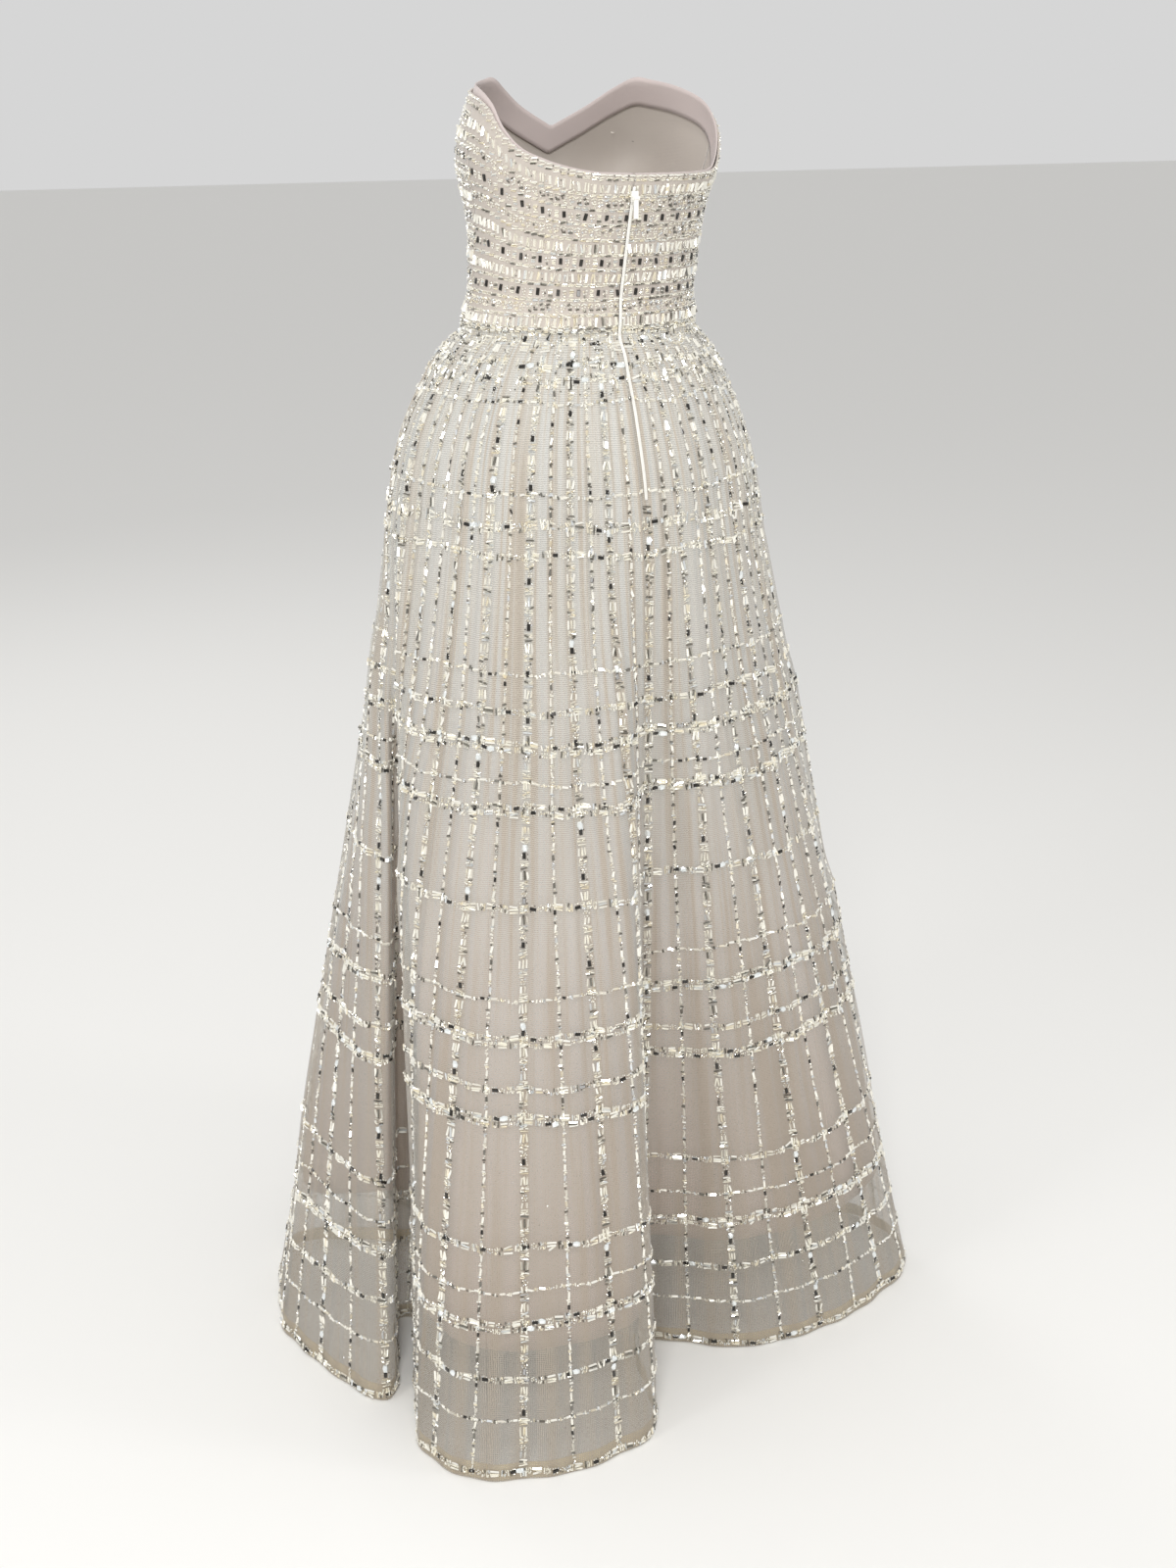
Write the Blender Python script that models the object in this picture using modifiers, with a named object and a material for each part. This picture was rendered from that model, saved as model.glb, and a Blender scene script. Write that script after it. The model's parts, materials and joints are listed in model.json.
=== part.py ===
"""Strapless tulle maxi dress, filled out as worn, with nobody in it.

Metres, +Z up. The origin is the centre of the waist seam. The front faces -Y, the wearer's
left is +X and the zip is at the centre back, towards +Y. Angles round the dress are in degrees
from the centre back, growing towards the wearer's left, so 90 is the left side, 180 the centre
front and 270 the right side.
"""

import math

import bmesh
import bpy
import numpy as np

# Cloth walls and the gap that is kept at seams.
TULLE_WALL = 0.0016
LINING_WALL = 0.0012
BODICE_WALL = 0.0020
FACING_WALL = 0.0010
SEAM_GAP = 0.0003
SEAM_DRAW_BACK = 0.00025

# Skirt, measured down from the waist seam.
SKIRT_LENGTH = 1.08
HIP_DROP = 0.20
LINING_LENGTH = 0.930
LINING_TOP = 0.001
HEM_CENTRE = (-0.008, 0.004)
CROWN_STEP = 0.024
FLANK_STEP = 0.045
GATHER_DEPTH_TOP = 0.0010
GATHER_DEPTH_HEM = 0.0022
GATHER_START = 0.012
GATHER_SHARE_OF_COLUMN = 0.12
SHARPEST_MITRE = 0.5

# The skirt's outline above the folds: drop below the waist, half width, half depth, and the
# centre's shift to the wearer's left and to the back.
ENVELOPE = (
    # drop, half_width, half_depth, shift_x, shift_y
    (0.000, 0.1150, 0.0930, 0.000, 0.000),
    (0.005, 0.1150, 0.0930, 0.000, 0.000),
    (0.018, 0.1280, 0.1070, 0.001, -0.001),
    (0.036, 0.1400, 0.1200, 0.002, -0.002),
    (0.060, 0.1525, 0.1340, 0.003, -0.002),
    (0.090, 0.1660, 0.1480, 0.004, -0.002),
    (0.125, 0.1770, 0.1600, 0.004, -0.002),
    (0.165, 0.1840, 0.1680, 0.004, -0.002),
    (0.200, 0.1890, 0.1740, 0.004, -0.002),
)
LOWER_DROPS = (0.26, 0.35, 0.48, 0.65, 0.86, SKIRT_LENGTH)
LINING_DROPS = (0.005, 0.018, 0.036, 0.090, 0.200, 0.260, 0.350, 0.600, LINING_LENGTH)
# How far the lining's outer face stands inside the tulle's, at each drop below the waist.
LINING_STANDOFFS = (
    # drop, standoff
    (0.000, TULLE_WALL + SEAM_GAP),
    (0.005, 0.0027),
    (0.018, 0.0058),
    (0.036, 0.0072),
)

# The big folds. Each line runs straight from the hip, where it lies on the outline above, to
# the hem. Valleys run inwards, crowns and shoulders stand out.
FOLD_LINES = (
    # name, angle at hip, angle at hem, distance from the hem's centre
    ("centre back valley, seam", 0, -3, 0.1355),
    ("centre back valley, left corner", 1.5, 1.6, 0.137),
    ("back fold, right shoulder", 9, 11.5, 0.285),
    ("back fold, crown", 47, 40, 0.362),
    ("back fold, left shoulder", 85, 55.5, 0.344),
    ("left side valley, back corner", 89.5, 91.8, 0.202),
    ("left side valley, seam", 91, 93, 0.212),
    ("left side valley, front corner", 92.5, 94, 0.222),
    ("left fold, back shoulder", 102, 66.5, 0.303),
    ("left fold, crown", 118, 97, 0.345),
    ("left fold, front shoulder", 140, 126, 0.350),
    ("front left valley, left corner", 144.5, 138, 0.205),
    ("front left valley, right corner", 147.5, 144, 0.205),
    ("front fold, left shoulder", 152, 153, 0.335),
    ("front fold, crown", 178, 172, 0.362),
    ("front fold, right shoulder", 204, 193, 0.345),
    ("front right valley, left corner", 208.5, 203, 0.200),
    ("front right valley, right corner", 211.5, 209, 0.200),
    ("right front fold, left shoulder", 216, 217, 0.335),
    ("right front fold, crown", 236, 234, 0.360),
    ("right front fold, right shoulder", 258, 252, 0.345),
    ("right side valley, front corner", 263.5, 259, 0.215),
    ("right side valley, seam", 265, 262, 0.214),
    ("right side valley, back corner", 266.5, 265, 0.215),
    ("right fold, front shoulder", 272, 270, 0.345),
    ("right fold, crown", 290, 286, 0.375),
    ("right fold, back flank", 318, 307, 0.303),
    ("right fold, inner flank", 349, 331, 0.212),
    ("centre back valley, right corner", 358.5, 352.4, 0.135),
)
# The lining bridges the sharp back edge of the left fold, which holds tulle alone.
LINING_LINES = tuple(line for line in FOLD_LINES if line[0] != "left fold, back shoulder")
SEAM_LINES = {
    "centre back": "centre back valley, seam",
    "left gore": "back fold, crown",
    "left side": "left side valley, seam",
    "right side": "right side valley, seam",
    "right gore": "right fold, back flank",
}

# The bodice, measured up from the waist seam.
BODICE_SECTIONS = (
    # height, half_width, back_depth, front_depth, cup
    (0.000, 0.1150, 0.0930, 0.0930, 0.000),
    (0.005, 0.1150, 0.0930, 0.0930, 0.000),
    (0.028, 0.1105, 0.0890, 0.0920, 0.001),
    (0.055, 0.1105, 0.0900, 0.0980, 0.005),
    (0.085, 0.1115, 0.0915, 0.1040, 0.012),
    (0.115, 0.1155, 0.0940, 0.1080, 0.020),
    (0.140, 0.1215, 0.0970, 0.1100, 0.024),
    (0.175, 0.1255, 0.0990, 0.1070, 0.019),
    (0.215, 0.1200, 0.0980, 0.1000, 0.006),
)
BODICE_LEAN = (-0.083, 0.036)
CUP_ANGLE = 143
CUP_SPREAD = 21
NECKLINE = (
    # angle from the centre back, height on the left side, height on the right side
    (0, 0.1385, 0.1385),
    (20, 0.141, 0.138),
    (42, 0.152, 0.138),
    (55, 0.163, 0.139),
    (64, 0.177, 0.143),
    (73, 0.193, 0.153),
    (82, 0.201, 0.168),
    (95, 0.206, 0.188),
    (115, 0.209, 0.203),
    (135, 0.212, 0.211),
    (142, 0.2135, 0.213),
    (152, 0.204, 0.204),
    (165, 0.186, 0.186),
    (180, 0.168, 0.168),
)
BODICE_SHARES = (1.0, 0.88, 0.74, 0.60, 0.46, 0.32, 0.18)
BODICE_FOOT = 0.005
BODICE_ANGLES = (0, 6, 13, 20, 28, 36, 44, 52, 60, 67, 73, 79, 85, 92, 100, 109, 118, 126,
                 134, 142, 149, 156, 164, 172, 180)
BODICE_SIDE_ANGLE = 92
FACING_CLEARANCE = 0.0012
FACING_DEPTH = 0.026
FACING_SHARES = (1.0, 0.6, 0.0)
# How far the facing stands above the neckline, little at the back and more over the cups.
FACING_SHOW = (
    # angle from the centre back, height that shows
    (50, 0.0010),
    (95, 0.0060),
)
NORMAL_STEP = 2

# The zip, its slider and the pull that hangs from it.
ZIP_TOP = 0.128
ZIP_END = -0.144
ZIP_WIDTH = 0.0030
ZIP_THICKNESS = 0.0009
ZIP_CLEARANCE = 0.0010
ZIP_BODICE_ROWS = 9
SLIDER_SIZE = (0.0068, 0.0022, 0.0095)
SLIDER_RISE = 0.0012
CHEEK_SIZE = (0.0008, 0.0036, 0.0032)
CHEEK_SINK = 0.0004
PIVOT_HEIGHT = 0.1185
PIVOT_REACH = 0.0021
PIN_RADIUS = 0.0006
PIN_SIDES = 12
EYE_HOLE_RADIUS = 0.0009
EYE_HOLE_POINTS = 16
EYE_RADIUS = 0.0016
EYE_POINTS = 17
PULL_WIDTH = 0.0044
PULL_LENGTH = 0.0180
PULL_HALF_THICKNESS = 0.0006
WELD_DISTANCE = 0.00001
CHEEK_REACH = PULL_WIDTH / 2 + SEAM_GAP + CHEEK_SIZE[0] / 2

# Finishes: colour, roughness, metallic.
FINISHES = {
    "beaded_tulle": ((0.55, 0.49, 0.40), 0.55, 0.0),
    "lining_satin": ((0.62, 0.47, 0.37), 0.45, 0.0),
    "facing_cloth": ((0.68, 0.60, 0.55), 0.60, 0.0),
    "zip_tape": ((0.80, 0.78, 0.72), 0.50, 0.0),
    "white_enamel": ((0.85, 0.84, 0.80), 0.30, 0.0),
}


def clear_scene():
    for thing in list(bpy.data.objects):
        bpy.data.objects.remove(thing, do_unlink=True)


def make_collection(name):
    group = bpy.data.collections.new(name)
    bpy.context.scene.collection.children.link(group)
    return group


def make_material(finish, piece_name):
    """Each piece has its own material, made from one of the finishes."""
    colour, roughness, metallic = FINISHES[finish]
    material = bpy.data.materials.new(piece_name)
    material.use_nodes = True
    shader = material.node_tree.nodes["Principled BSDF"]
    shader.inputs["Base Color"].default_value = (*colour, 1.0)
    shader.inputs["Roughness"].default_value = roughness
    shader.inputs["Metallic"].default_value = metallic
    return material


def add_piece(name, data, finish, group):
    piece = bpy.data.objects.new(name, data)
    data.materials.append(make_material(finish, name))
    group.objects.link(piece)
    return piece


def cloth(name, rows, wall, finish, group):
    """Lofts an open surface through rows of points, top row first, and gives it a wall."""
    rows = np.asarray(rows)
    down, across = rows.shape[:2]
    corner = np.arange(down * across).reshape(down, across)
    first = np.stack([corner[:-1, :-1], corner[:-1, 1:], corner[1:, 1:]], axis=-1)
    second = np.stack([corner[:-1, :-1], corner[1:, 1:], corner[1:, :-1]], axis=-1)
    faces = np.concatenate([first.reshape(-1, 3), second.reshape(-1, 3)])
    mesh = bpy.data.meshes.new(name)
    mesh.from_pydata(rows.reshape(-1, 3).tolist(), [], faces.tolist())
    mesh.shade_smooth()
    piece = add_piece(name, mesh, finish, group)
    solidify = piece.modifiers.new("wall", "SOLIDIFY")
    solidify.thickness = wall
    solidify.offset = -1.0
    return piece


def part_at_seams(rows):
    """Draws both side edges of a panel back from the seam, so that curved walls clear."""
    rows = np.array(rows)
    for edge, inner in ((0, 1), (-1, -2)):
        step = rows[:, inner] - rows[:, edge]
        length = np.linalg.norm(step, axis=1, keepdims=True)
        rows[:, edge] += step / length * SEAM_DRAW_BACK
    return rows


def envelope(drop):
    """Half width, half depth and centre shift of the skirt at a drop above the folds."""
    table = np.array(ENVELOPE)
    return [np.interp(drop, table[:, 0], table[:, column]) for column in range(1, 5)]


def fold_frame(drop, lines=FOLD_LINES):
    """Plan places of the fold lines at a drop: on the outline to the hip, then straight."""
    half_width, half_depth, shift_x, shift_y = envelope(min(drop, HIP_DROP))
    hip_angle = np.radians([line[1] for line in lines])
    hip = np.stack([shift_x + half_width * np.sin(hip_angle),
                    shift_y + half_depth * np.cos(hip_angle)], axis=1)
    hem_angle = np.radians([line[2] for line in lines])
    radius = np.array([line[3] for line in lines])
    hem = np.stack([HEM_CENTRE[0] + radius * np.sin(hem_angle),
                    HEM_CENTRE[1] + radius * np.cos(hem_angle)], axis=1)
    share = max(0.0, (drop - HIP_DROP) / (SKIRT_LENGTH - HIP_DROP))
    return hip + share * (hem - hip)


def inset(frame, distance):
    """Moves a closed outline inwards, each corner along its mitre.

    The mitre is the sum of both sides' unit normals. Twice it over its length squared keeps
    the distance to both sides, and very sharp corners stay short.
    """
    before = frame - np.roll(frame, 1, axis=0)
    after = np.roll(frame, -1, axis=0) - frame
    inward = []
    for step in (before, after):
        unit = step / np.linalg.norm(step, axis=1, keepdims=True)
        inward.append(np.stack([unit[:, 1], -unit[:, 0]], axis=1))
    mitre = inward[0] + inward[1]
    scale = 2.0 / np.maximum((mitre ** 2).sum(axis=1, keepdims=True), SHARPEST_MITRE)
    return frame + mitre * scale * distance


def column_counts(lines):
    """Columns between one fold line and the next, fewer on the straight flanks of valleys."""
    frame = fold_frame(SKIRT_LENGTH, lines)
    spans = np.linalg.norm(np.roll(frame, -1, axis=0) - frame, axis=1)
    names = [line[0] for line in lines]
    counts = []
    for span, start, end in zip(spans, names, names[1:] + names[:1]):
        step = FLANK_STEP if "corner" in start + end else CROWN_STEP
        counts.append(max(1, round(span / step)))
    return counts


def seam_columns(lines):
    """The column that each seam runs down."""
    counts = column_counts(lines)
    names = [line[0] for line in lines]
    return {seam: sum(counts[:names.index(line)]) for seam, line in SEAM_LINES.items()}


def smooth_ring(frame, counts):
    """A closed centripetal Catmull-Rom curve through the frame's corners.

    Four corners are blended in three rounds, each between the pairs of knots listed for it.
    """
    knot_pairs = (((0, 1), (1, 2), (2, 3)), ((0, 2), (1, 3)), ((1, 2),))
    total = len(frame)
    points = []
    for index, count in enumerate(counts):
        corners = [frame[(index + k) % total] for k in (-1, 0, 1, 2)]
        knots = [0.0]
        for start, end in zip(corners, corners[1:]):
            knots.append(knots[-1] + math.sqrt(np.linalg.norm(end - start)))
        for knot in np.linspace(knots[1], knots[2], count, endpoint=False):
            level = corners
            for pairs in knot_pairs:
                shares = [(knot - knots[low]) / (knots[high] - knots[low]) for low, high in pairs]
                level = [(1 - share) * start + share * end
                         for share, start, end in zip(shares, level, level[1:])]
            points.append(level[0])
    return np.array(points)


def gathered(ring, drop):
    """Pushes every other column out and in, less where columns are close, not at seams."""
    along = np.roll(ring, -1, axis=0) - np.roll(ring, 1, axis=0)
    along /= np.linalg.norm(along, axis=1, keepdims=True)
    outward = np.stack([-along[:, 1], along[:, 0]], axis=1)
    step = np.linalg.norm(np.roll(ring, -1, axis=0) - ring, axis=1)
    room = np.minimum(step, np.roll(step, 1)) * GATHER_SHARE_OF_COLUMN
    depth = GATHER_DEPTH_TOP + (GATHER_DEPTH_HEM - GATHER_DEPTH_TOP) * drop / SKIRT_LENGTH
    wave = np.minimum(room, depth) * np.where(np.arange(len(ring)) % 2 == 0, 1, -1)
    for column in seam_columns(FOLD_LINES).values():
        for near in (-1, 0, 1):
            wave[(column + near) % len(ring)] = 0.0
    return ring + outward * wave[:, None]


def skirt_rows(drops, standoffs, lines, gathers):
    """Rings of the skirt, each a row of points, closed by repeating the first point."""
    counts = column_counts(lines)
    rows = []
    for drop, standoff in zip(drops, standoffs):
        ring = smooth_ring(inset(fold_frame(drop, lines), standoff), counts)
        if gathers and drop > GATHER_START:
            ring = gathered(ring, drop)
        row = np.hstack([ring, np.full((len(ring), 1), -drop)])
        rows.append(np.vstack([row, row[:1]]))
    return np.array(rows)


def build_skirt(group):
    """Five panels of tulle, sewn at the centre back, the sides and two back gores."""
    drops = [SEAM_GAP / 2] + [row[0] for row in ENVELOPE[1:]] + list(LOWER_DROPS)
    rows = skirt_rows(drops, [0.0] * len(drops), FOLD_LINES, gathers=True)
    column = seam_columns(FOLD_LINES)
    panels = (
        ("skirt_back_left", column["centre back"], column["left gore"]),
        ("skirt_side_left", column["left gore"], column["left side"]),
        ("skirt_front", column["left side"], column["right side"]),
        ("skirt_side_right", column["right side"], column["right gore"]),
        ("skirt_back_right", column["right gore"], rows.shape[1] - 1),
    )
    for name, start, end in panels:
        panel = part_at_seams(rows[:, start:end + 1])
        cloth(name, panel, TULLE_WALL, "beaded_tulle", group)


def build_lining(group):
    """The lining hangs inside the tulle, in the same folds, and ends above its hem."""
    drops = [LINING_TOP] + list(LINING_DROPS)
    table = np.array(LINING_STANDOFFS)
    standoffs = np.interp(drops, table[:, 0], table[:, 1])
    rows = skirt_rows(drops, standoffs, LINING_LINES, gathers=False)
    column = seam_columns(LINING_LINES)
    panels = (
        ("lining_back_left", column["centre back"], column["left side"]),
        ("lining_front", column["left side"], column["right side"]),
        ("lining_back_right", column["right side"], rows.shape[1] - 1),
    )
    for name, start, end in panels:
        panel = part_at_seams(rows[:, start:end + 1])
        cloth(name, panel, LINING_WALL, "lining_satin", group)


def neck_height(angle):
    """Height of the neckline at an angle, read on the side that the angle lies on."""
    table = np.array(NECKLINE, dtype=float)
    turn = angle % 360
    if turn <= 180:
        return float(np.interp(turn, table[:, 0], table[:, 1]))
    return float(np.interp(360 - turn, table[:, 0], table[:, 2]))


def bodice_plan(angle, height):
    """Plan place of the bodice's outer face at an angle and a height."""
    table = np.array(BODICE_SECTIONS)
    half_width, back, front, cup = [np.interp(height, table[:, 0], table[:, k])
                                    for k in range(1, 5)]
    turn = math.radians(angle)
    depth = back if math.cos(turn) > 0 else front
    swell = sum(math.exp(-(((angle % 360) - centre) / CUP_SPREAD) ** 2)
                for centre in (CUP_ANGLE, 360 - CUP_ANGLE))
    x = BODICE_LEAN[0] * height + (half_width + cup * swell) * math.sin(turn)
    y = BODICE_LEAN[1] * height + (depth + cup * swell) * math.cos(turn)
    return np.array([x, y])


def bodice_point(angle, height, inward=0.0):
    """A point of the bodice, moved in along the plan's normal where inward is given."""
    place = bodice_plan(angle, height)
    if inward:
        along = (bodice_plan(angle + NORMAL_STEP, height)
                 - bodice_plan(angle - NORMAL_STEP, height))
        along /= np.linalg.norm(along)
        place = place + np.array([along[1], -along[0]]) * inward
    return np.array([place[0], place[1], height])


def bodice_angles(start, end):
    """The bodice's columns between two angles, the same on both sides."""
    full = [float(a) for a in BODICE_ANGLES] + [360.0 - a for a in reversed(BODICE_ANGLES[:-1])]
    return [angle for angle in full if start <= angle <= end]


def build_bodice(group):
    """A front with two cups and two backs, sewn at the sides and parted by the zip."""
    panels = (
        ("bodice_back_left", 0, BODICE_SIDE_ANGLE),
        ("bodice_front", BODICE_SIDE_ANGLE, 360 - BODICE_SIDE_ANGLE),
        ("bodice_back_right", 360 - BODICE_SIDE_ANGLE, 360),
    )
    bottom = SEAM_GAP / 2
    for name, start, end in panels:
        angles = bodice_angles(start, end)
        rows = []
        for share in BODICE_SHARES:
            rows.append([bodice_point(angle, share * neck_height(angle)) for angle in angles])
        for height in (BODICE_FOOT, bottom):
            rows.append([bodice_point(angle, height) for angle in angles])
        cloth(name, part_at_seams(rows), BODICE_WALL, "beaded_tulle", group)


def build_facing(group):
    """A plain band inside the neckline. It stands a little above the cups' edges."""
    inward = BODICE_WALL + FACING_CLEARANCE
    angles = bodice_angles(0, 360)
    table = np.array(FACING_SHOW)
    rows = []
    for share in FACING_SHARES:
        row = []
        for angle in angles:
            turn = min(angle, 360 - angle)
            show = np.interp(turn, table[:, 0], table[:, 1])
            top = neck_height(angle) + show
            row.append(bodice_point(angle, top - (1 - share) * FACING_DEPTH, inward))
        rows.append(row)
    cloth("neck_facing", part_at_seams(rows), FACING_WALL, "facing_cloth", group)


def centre_back(height):
    """The outer face's place at the centre back, on the bodice or on the skirt."""
    if height >= 0:
        return bodice_plan(0, height)
    return fold_frame(-height)[0]


def build_zip(group):
    """The closed zip: a narrow strip that covers the centre back seam from outside."""
    bodice_heights = np.linspace(ZIP_TOP, 0.0, ZIP_BODICE_ROWS)
    skirt_heights = [-row[0] for row in ENVELOPE[1:] if -row[0] > ZIP_END] + [ZIP_END]
    rows = []
    for height in list(bodice_heights) + skirt_heights:
        x, y = centre_back(height)
        out = y + ZIP_CLEARANCE + ZIP_THICKNESS
        rows.append([(x + side * ZIP_WIDTH / 2, out, height) for side in (-1, 0, 1)])
    cloth("zip_strip", rows, ZIP_THICKNESS, "zip_tape", group)


def box(size, place):
    """A box mesh with its middle at a place."""
    mesh = bmesh.new()
    bmesh.ops.create_cube(mesh, size=1.0)
    bmesh.ops.scale(mesh, vec=size, verts=mesh.verts)
    bmesh.ops.translate(mesh, vec=place, verts=mesh.verts)
    return mesh


def slider_face():
    """Where the slider's outer face and the pull's pivot lie, from the zip at that height."""
    x, _ = centre_back(PIVOT_HEIGHT)
    _, y = centre_back(ZIP_TOP)
    inner = y + ZIP_CLEARANCE + ZIP_THICKNESS + SEAM_GAP
    outer = inner + SLIDER_SIZE[1]
    return x, inner, outer, outer + PIVOT_REACH


def join_by_union(body, tool):
    """Joins one object to another and removes the second."""
    union = body.modifiers.new("join", "BOOLEAN")
    union.operation = "UNION"
    union.object = tool
    view = bpy.context.evaluated_depsgraph_get()
    joined = bpy.data.meshes.new_from_object(body.evaluated_get(view))
    body.modifiers.clear()
    body.data = joined
    bpy.data.objects.remove(tool, do_unlink=True)


def build_slider(group):
    """The slider's body, two cheeks and the pin that carries the pull."""
    x, inner, outer, pivot = slider_face()
    mesh = bpy.data.meshes.new("zip_slider")
    middle = (x, (inner + outer) / 2, PIVOT_HEIGHT + SLIDER_RISE)
    box(SLIDER_SIZE, middle).to_mesh(mesh)
    slider = add_piece("zip_slider", mesh, "white_enamel", group)
    for side in (-1, 1):
        cheek_mesh = bpy.data.meshes.new("cheek")
        place = (x + side * CHEEK_REACH, outer + CHEEK_SIZE[1] / 2 - CHEEK_SINK, PIVOT_HEIGHT)
        box(CHEEK_SIZE, place).to_mesh(cheek_mesh)
        cheek = bpy.data.objects.new("cheek", cheek_mesh)
        group.objects.link(cheek)
        join_by_union(slider, cheek)
    pin_mesh = bmesh.new()
    bmesh.ops.create_cone(pin_mesh, cap_ends=True, segments=PIN_SIDES, radius1=PIN_RADIUS,
                          radius2=PIN_RADIUS, depth=2 * CHEEK_REACH)
    for vert in pin_mesh.verts:
        vert.co = (vert.co.z, vert.co.y, -vert.co.x)
    bmesh.ops.translate(pin_mesh, vec=(x, pivot, PIVOT_HEIGHT), verts=pin_mesh.verts)
    pin_data = bpy.data.meshes.new("pin")
    pin_mesh.to_mesh(pin_data)
    pin = bpy.data.objects.new("pin", pin_data)
    group.objects.link(pin)
    join_by_union(slider, pin)
    slider.data.materials.clear()
    slider.data.materials.append(make_material("white_enamel", "zip_slider"))


def build_pull(group):
    """The pull: an eye round the pin with a flat tab below it, its origin on the pin."""
    x, _, _, pivot = slider_face()
    outline = bpy.data.curves.new("zip_pull", "CURVE")
    outline.dimensions = "2D"
    outline.fill_mode = "BOTH"
    outline.extrude = PULL_WIDTH / 2
    neck = math.asin(PULL_HALF_THICKNESS / EYE_RADIUS)
    eye = [(EYE_RADIUS * math.sin(turn), -EYE_RADIUS * math.cos(turn))
           for turn in np.linspace(neck, 2 * math.pi - neck, EYE_POINTS)]
    tab = [(-PULL_HALF_THICKNESS, -PULL_LENGTH), (PULL_HALF_THICKNESS, -PULL_LENGTH)]
    hole = [(EYE_HOLE_RADIUS * math.sin(turn), EYE_HOLE_RADIUS * math.cos(turn))
            for turn in np.linspace(0, 2 * math.pi, EYE_HOLE_POINTS, endpoint=False)]
    for points in (eye + tab, hole):
        spline = outline.splines.new("POLY")
        spline.points.add(len(points) - 1)
        for target, (across, up) in zip(spline.points, points):
            target.co = (across, up, 0.0, 1.0)
        spline.use_cyclic_u = True
    pull = add_piece("zip_pull", outline, "white_enamel", group)
    pull.rotation_euler = (math.radians(90), 0.0, math.radians(90))
    pull.location = (x, pivot, PIVOT_HEIGHT)
    weld = pull.modifiers.new("weld", "WELD")
    weld.merge_threshold = WELD_DISTANCE


def main():
    clear_scene()
    group = make_collection("tulle_maxi_dress")
    build_bodice(group)
    build_facing(group)
    build_skirt(group)
    build_lining(group)
    build_zip(group)
    build_slider(group)
    build_pull(group)


main()
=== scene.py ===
# Strapless tulle maxi dress: its cloth, beadwork and zip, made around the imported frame.
# Metres, +Z up. The front faces -Y, the wearer's left is +X, the zip lies towards +Y and the
# waist seam is at z = 0. Angles run from the centre back towards the wearer's left. A share is
# a part of a ring's length, from 0 at the centre back, in that same direction. A drop is the
# distance below the waist seam.

import json
import math

import bpy
import numpy as np
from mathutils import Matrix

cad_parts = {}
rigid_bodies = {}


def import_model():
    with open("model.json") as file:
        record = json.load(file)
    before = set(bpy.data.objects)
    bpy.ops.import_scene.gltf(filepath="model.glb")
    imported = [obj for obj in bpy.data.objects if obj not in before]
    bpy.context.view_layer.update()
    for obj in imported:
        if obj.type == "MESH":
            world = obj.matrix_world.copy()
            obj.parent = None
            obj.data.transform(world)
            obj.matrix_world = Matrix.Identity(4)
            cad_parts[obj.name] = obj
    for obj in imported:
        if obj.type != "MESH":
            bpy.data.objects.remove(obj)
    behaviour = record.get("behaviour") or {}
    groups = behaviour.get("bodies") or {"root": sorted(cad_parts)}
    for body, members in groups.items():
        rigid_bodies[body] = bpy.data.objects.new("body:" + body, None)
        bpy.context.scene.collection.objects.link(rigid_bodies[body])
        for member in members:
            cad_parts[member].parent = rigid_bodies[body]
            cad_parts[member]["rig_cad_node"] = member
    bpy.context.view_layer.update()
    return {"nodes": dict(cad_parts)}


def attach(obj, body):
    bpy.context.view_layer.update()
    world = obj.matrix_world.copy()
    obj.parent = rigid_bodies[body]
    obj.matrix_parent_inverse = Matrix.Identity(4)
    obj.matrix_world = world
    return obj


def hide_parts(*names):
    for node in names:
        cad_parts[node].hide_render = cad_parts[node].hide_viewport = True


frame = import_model()
print("frame loaded:", len(frame["nodes"]), "nodes")

rng = np.random.default_rng(57)
millimetre = 0.001


# Small helpers for curves and tables.

def smoothTable(at, table, column):
    # A cubic curve through the table's points, with each point's slope taken from its neighbours.
    rows = np.array(table, dtype=float)
    x, y = rows[:, 0], rows[:, column]
    slope = np.gradient(y, x)
    at = np.clip(at, x[0], x[-1])
    spot = np.clip(np.searchsorted(x, at, side="right") - 1, 0, len(x) - 2)
    width = x[spot + 1] - x[spot]
    t = (at - x[spot]) / width
    return ((2 * t**3 - 3 * t**2 + 1) * y[spot] + (t**3 - 2 * t**2 + t) * width * slope[spot]
            + (3 * t**2 - 2 * t**3) * y[spot + 1] + (t**3 - t**2) * width * slope[spot + 1])


def smoothStep(low, high, value):
    # 0 below low, 1 above high, and a smooth cubic rise between them.
    t = np.clip((value - low) / (high - low), 0.0, 1.0)
    return t * t * (3 - 2 * t)


def unit(vectors):
    # Each vector divided by its own length.
    return vectors / np.maximum(np.linalg.norm(vectors, axis=-1, keepdims=True), 1e-12)


def closeRing(grid):
    # The grid with its first column repeated after its last.
    return np.concatenate([grid, grid[:, :1]], axis=1)


def runAlong(points):
    # How far each point of a grid lies along its row from the first column.
    steps = np.diff(points, axis=1, prepend=points[:, :1])
    return np.cumsum(np.linalg.norm(steps, axis=-1), axis=1)


# The skirt's form, the same as the cut pieces have.

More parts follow.
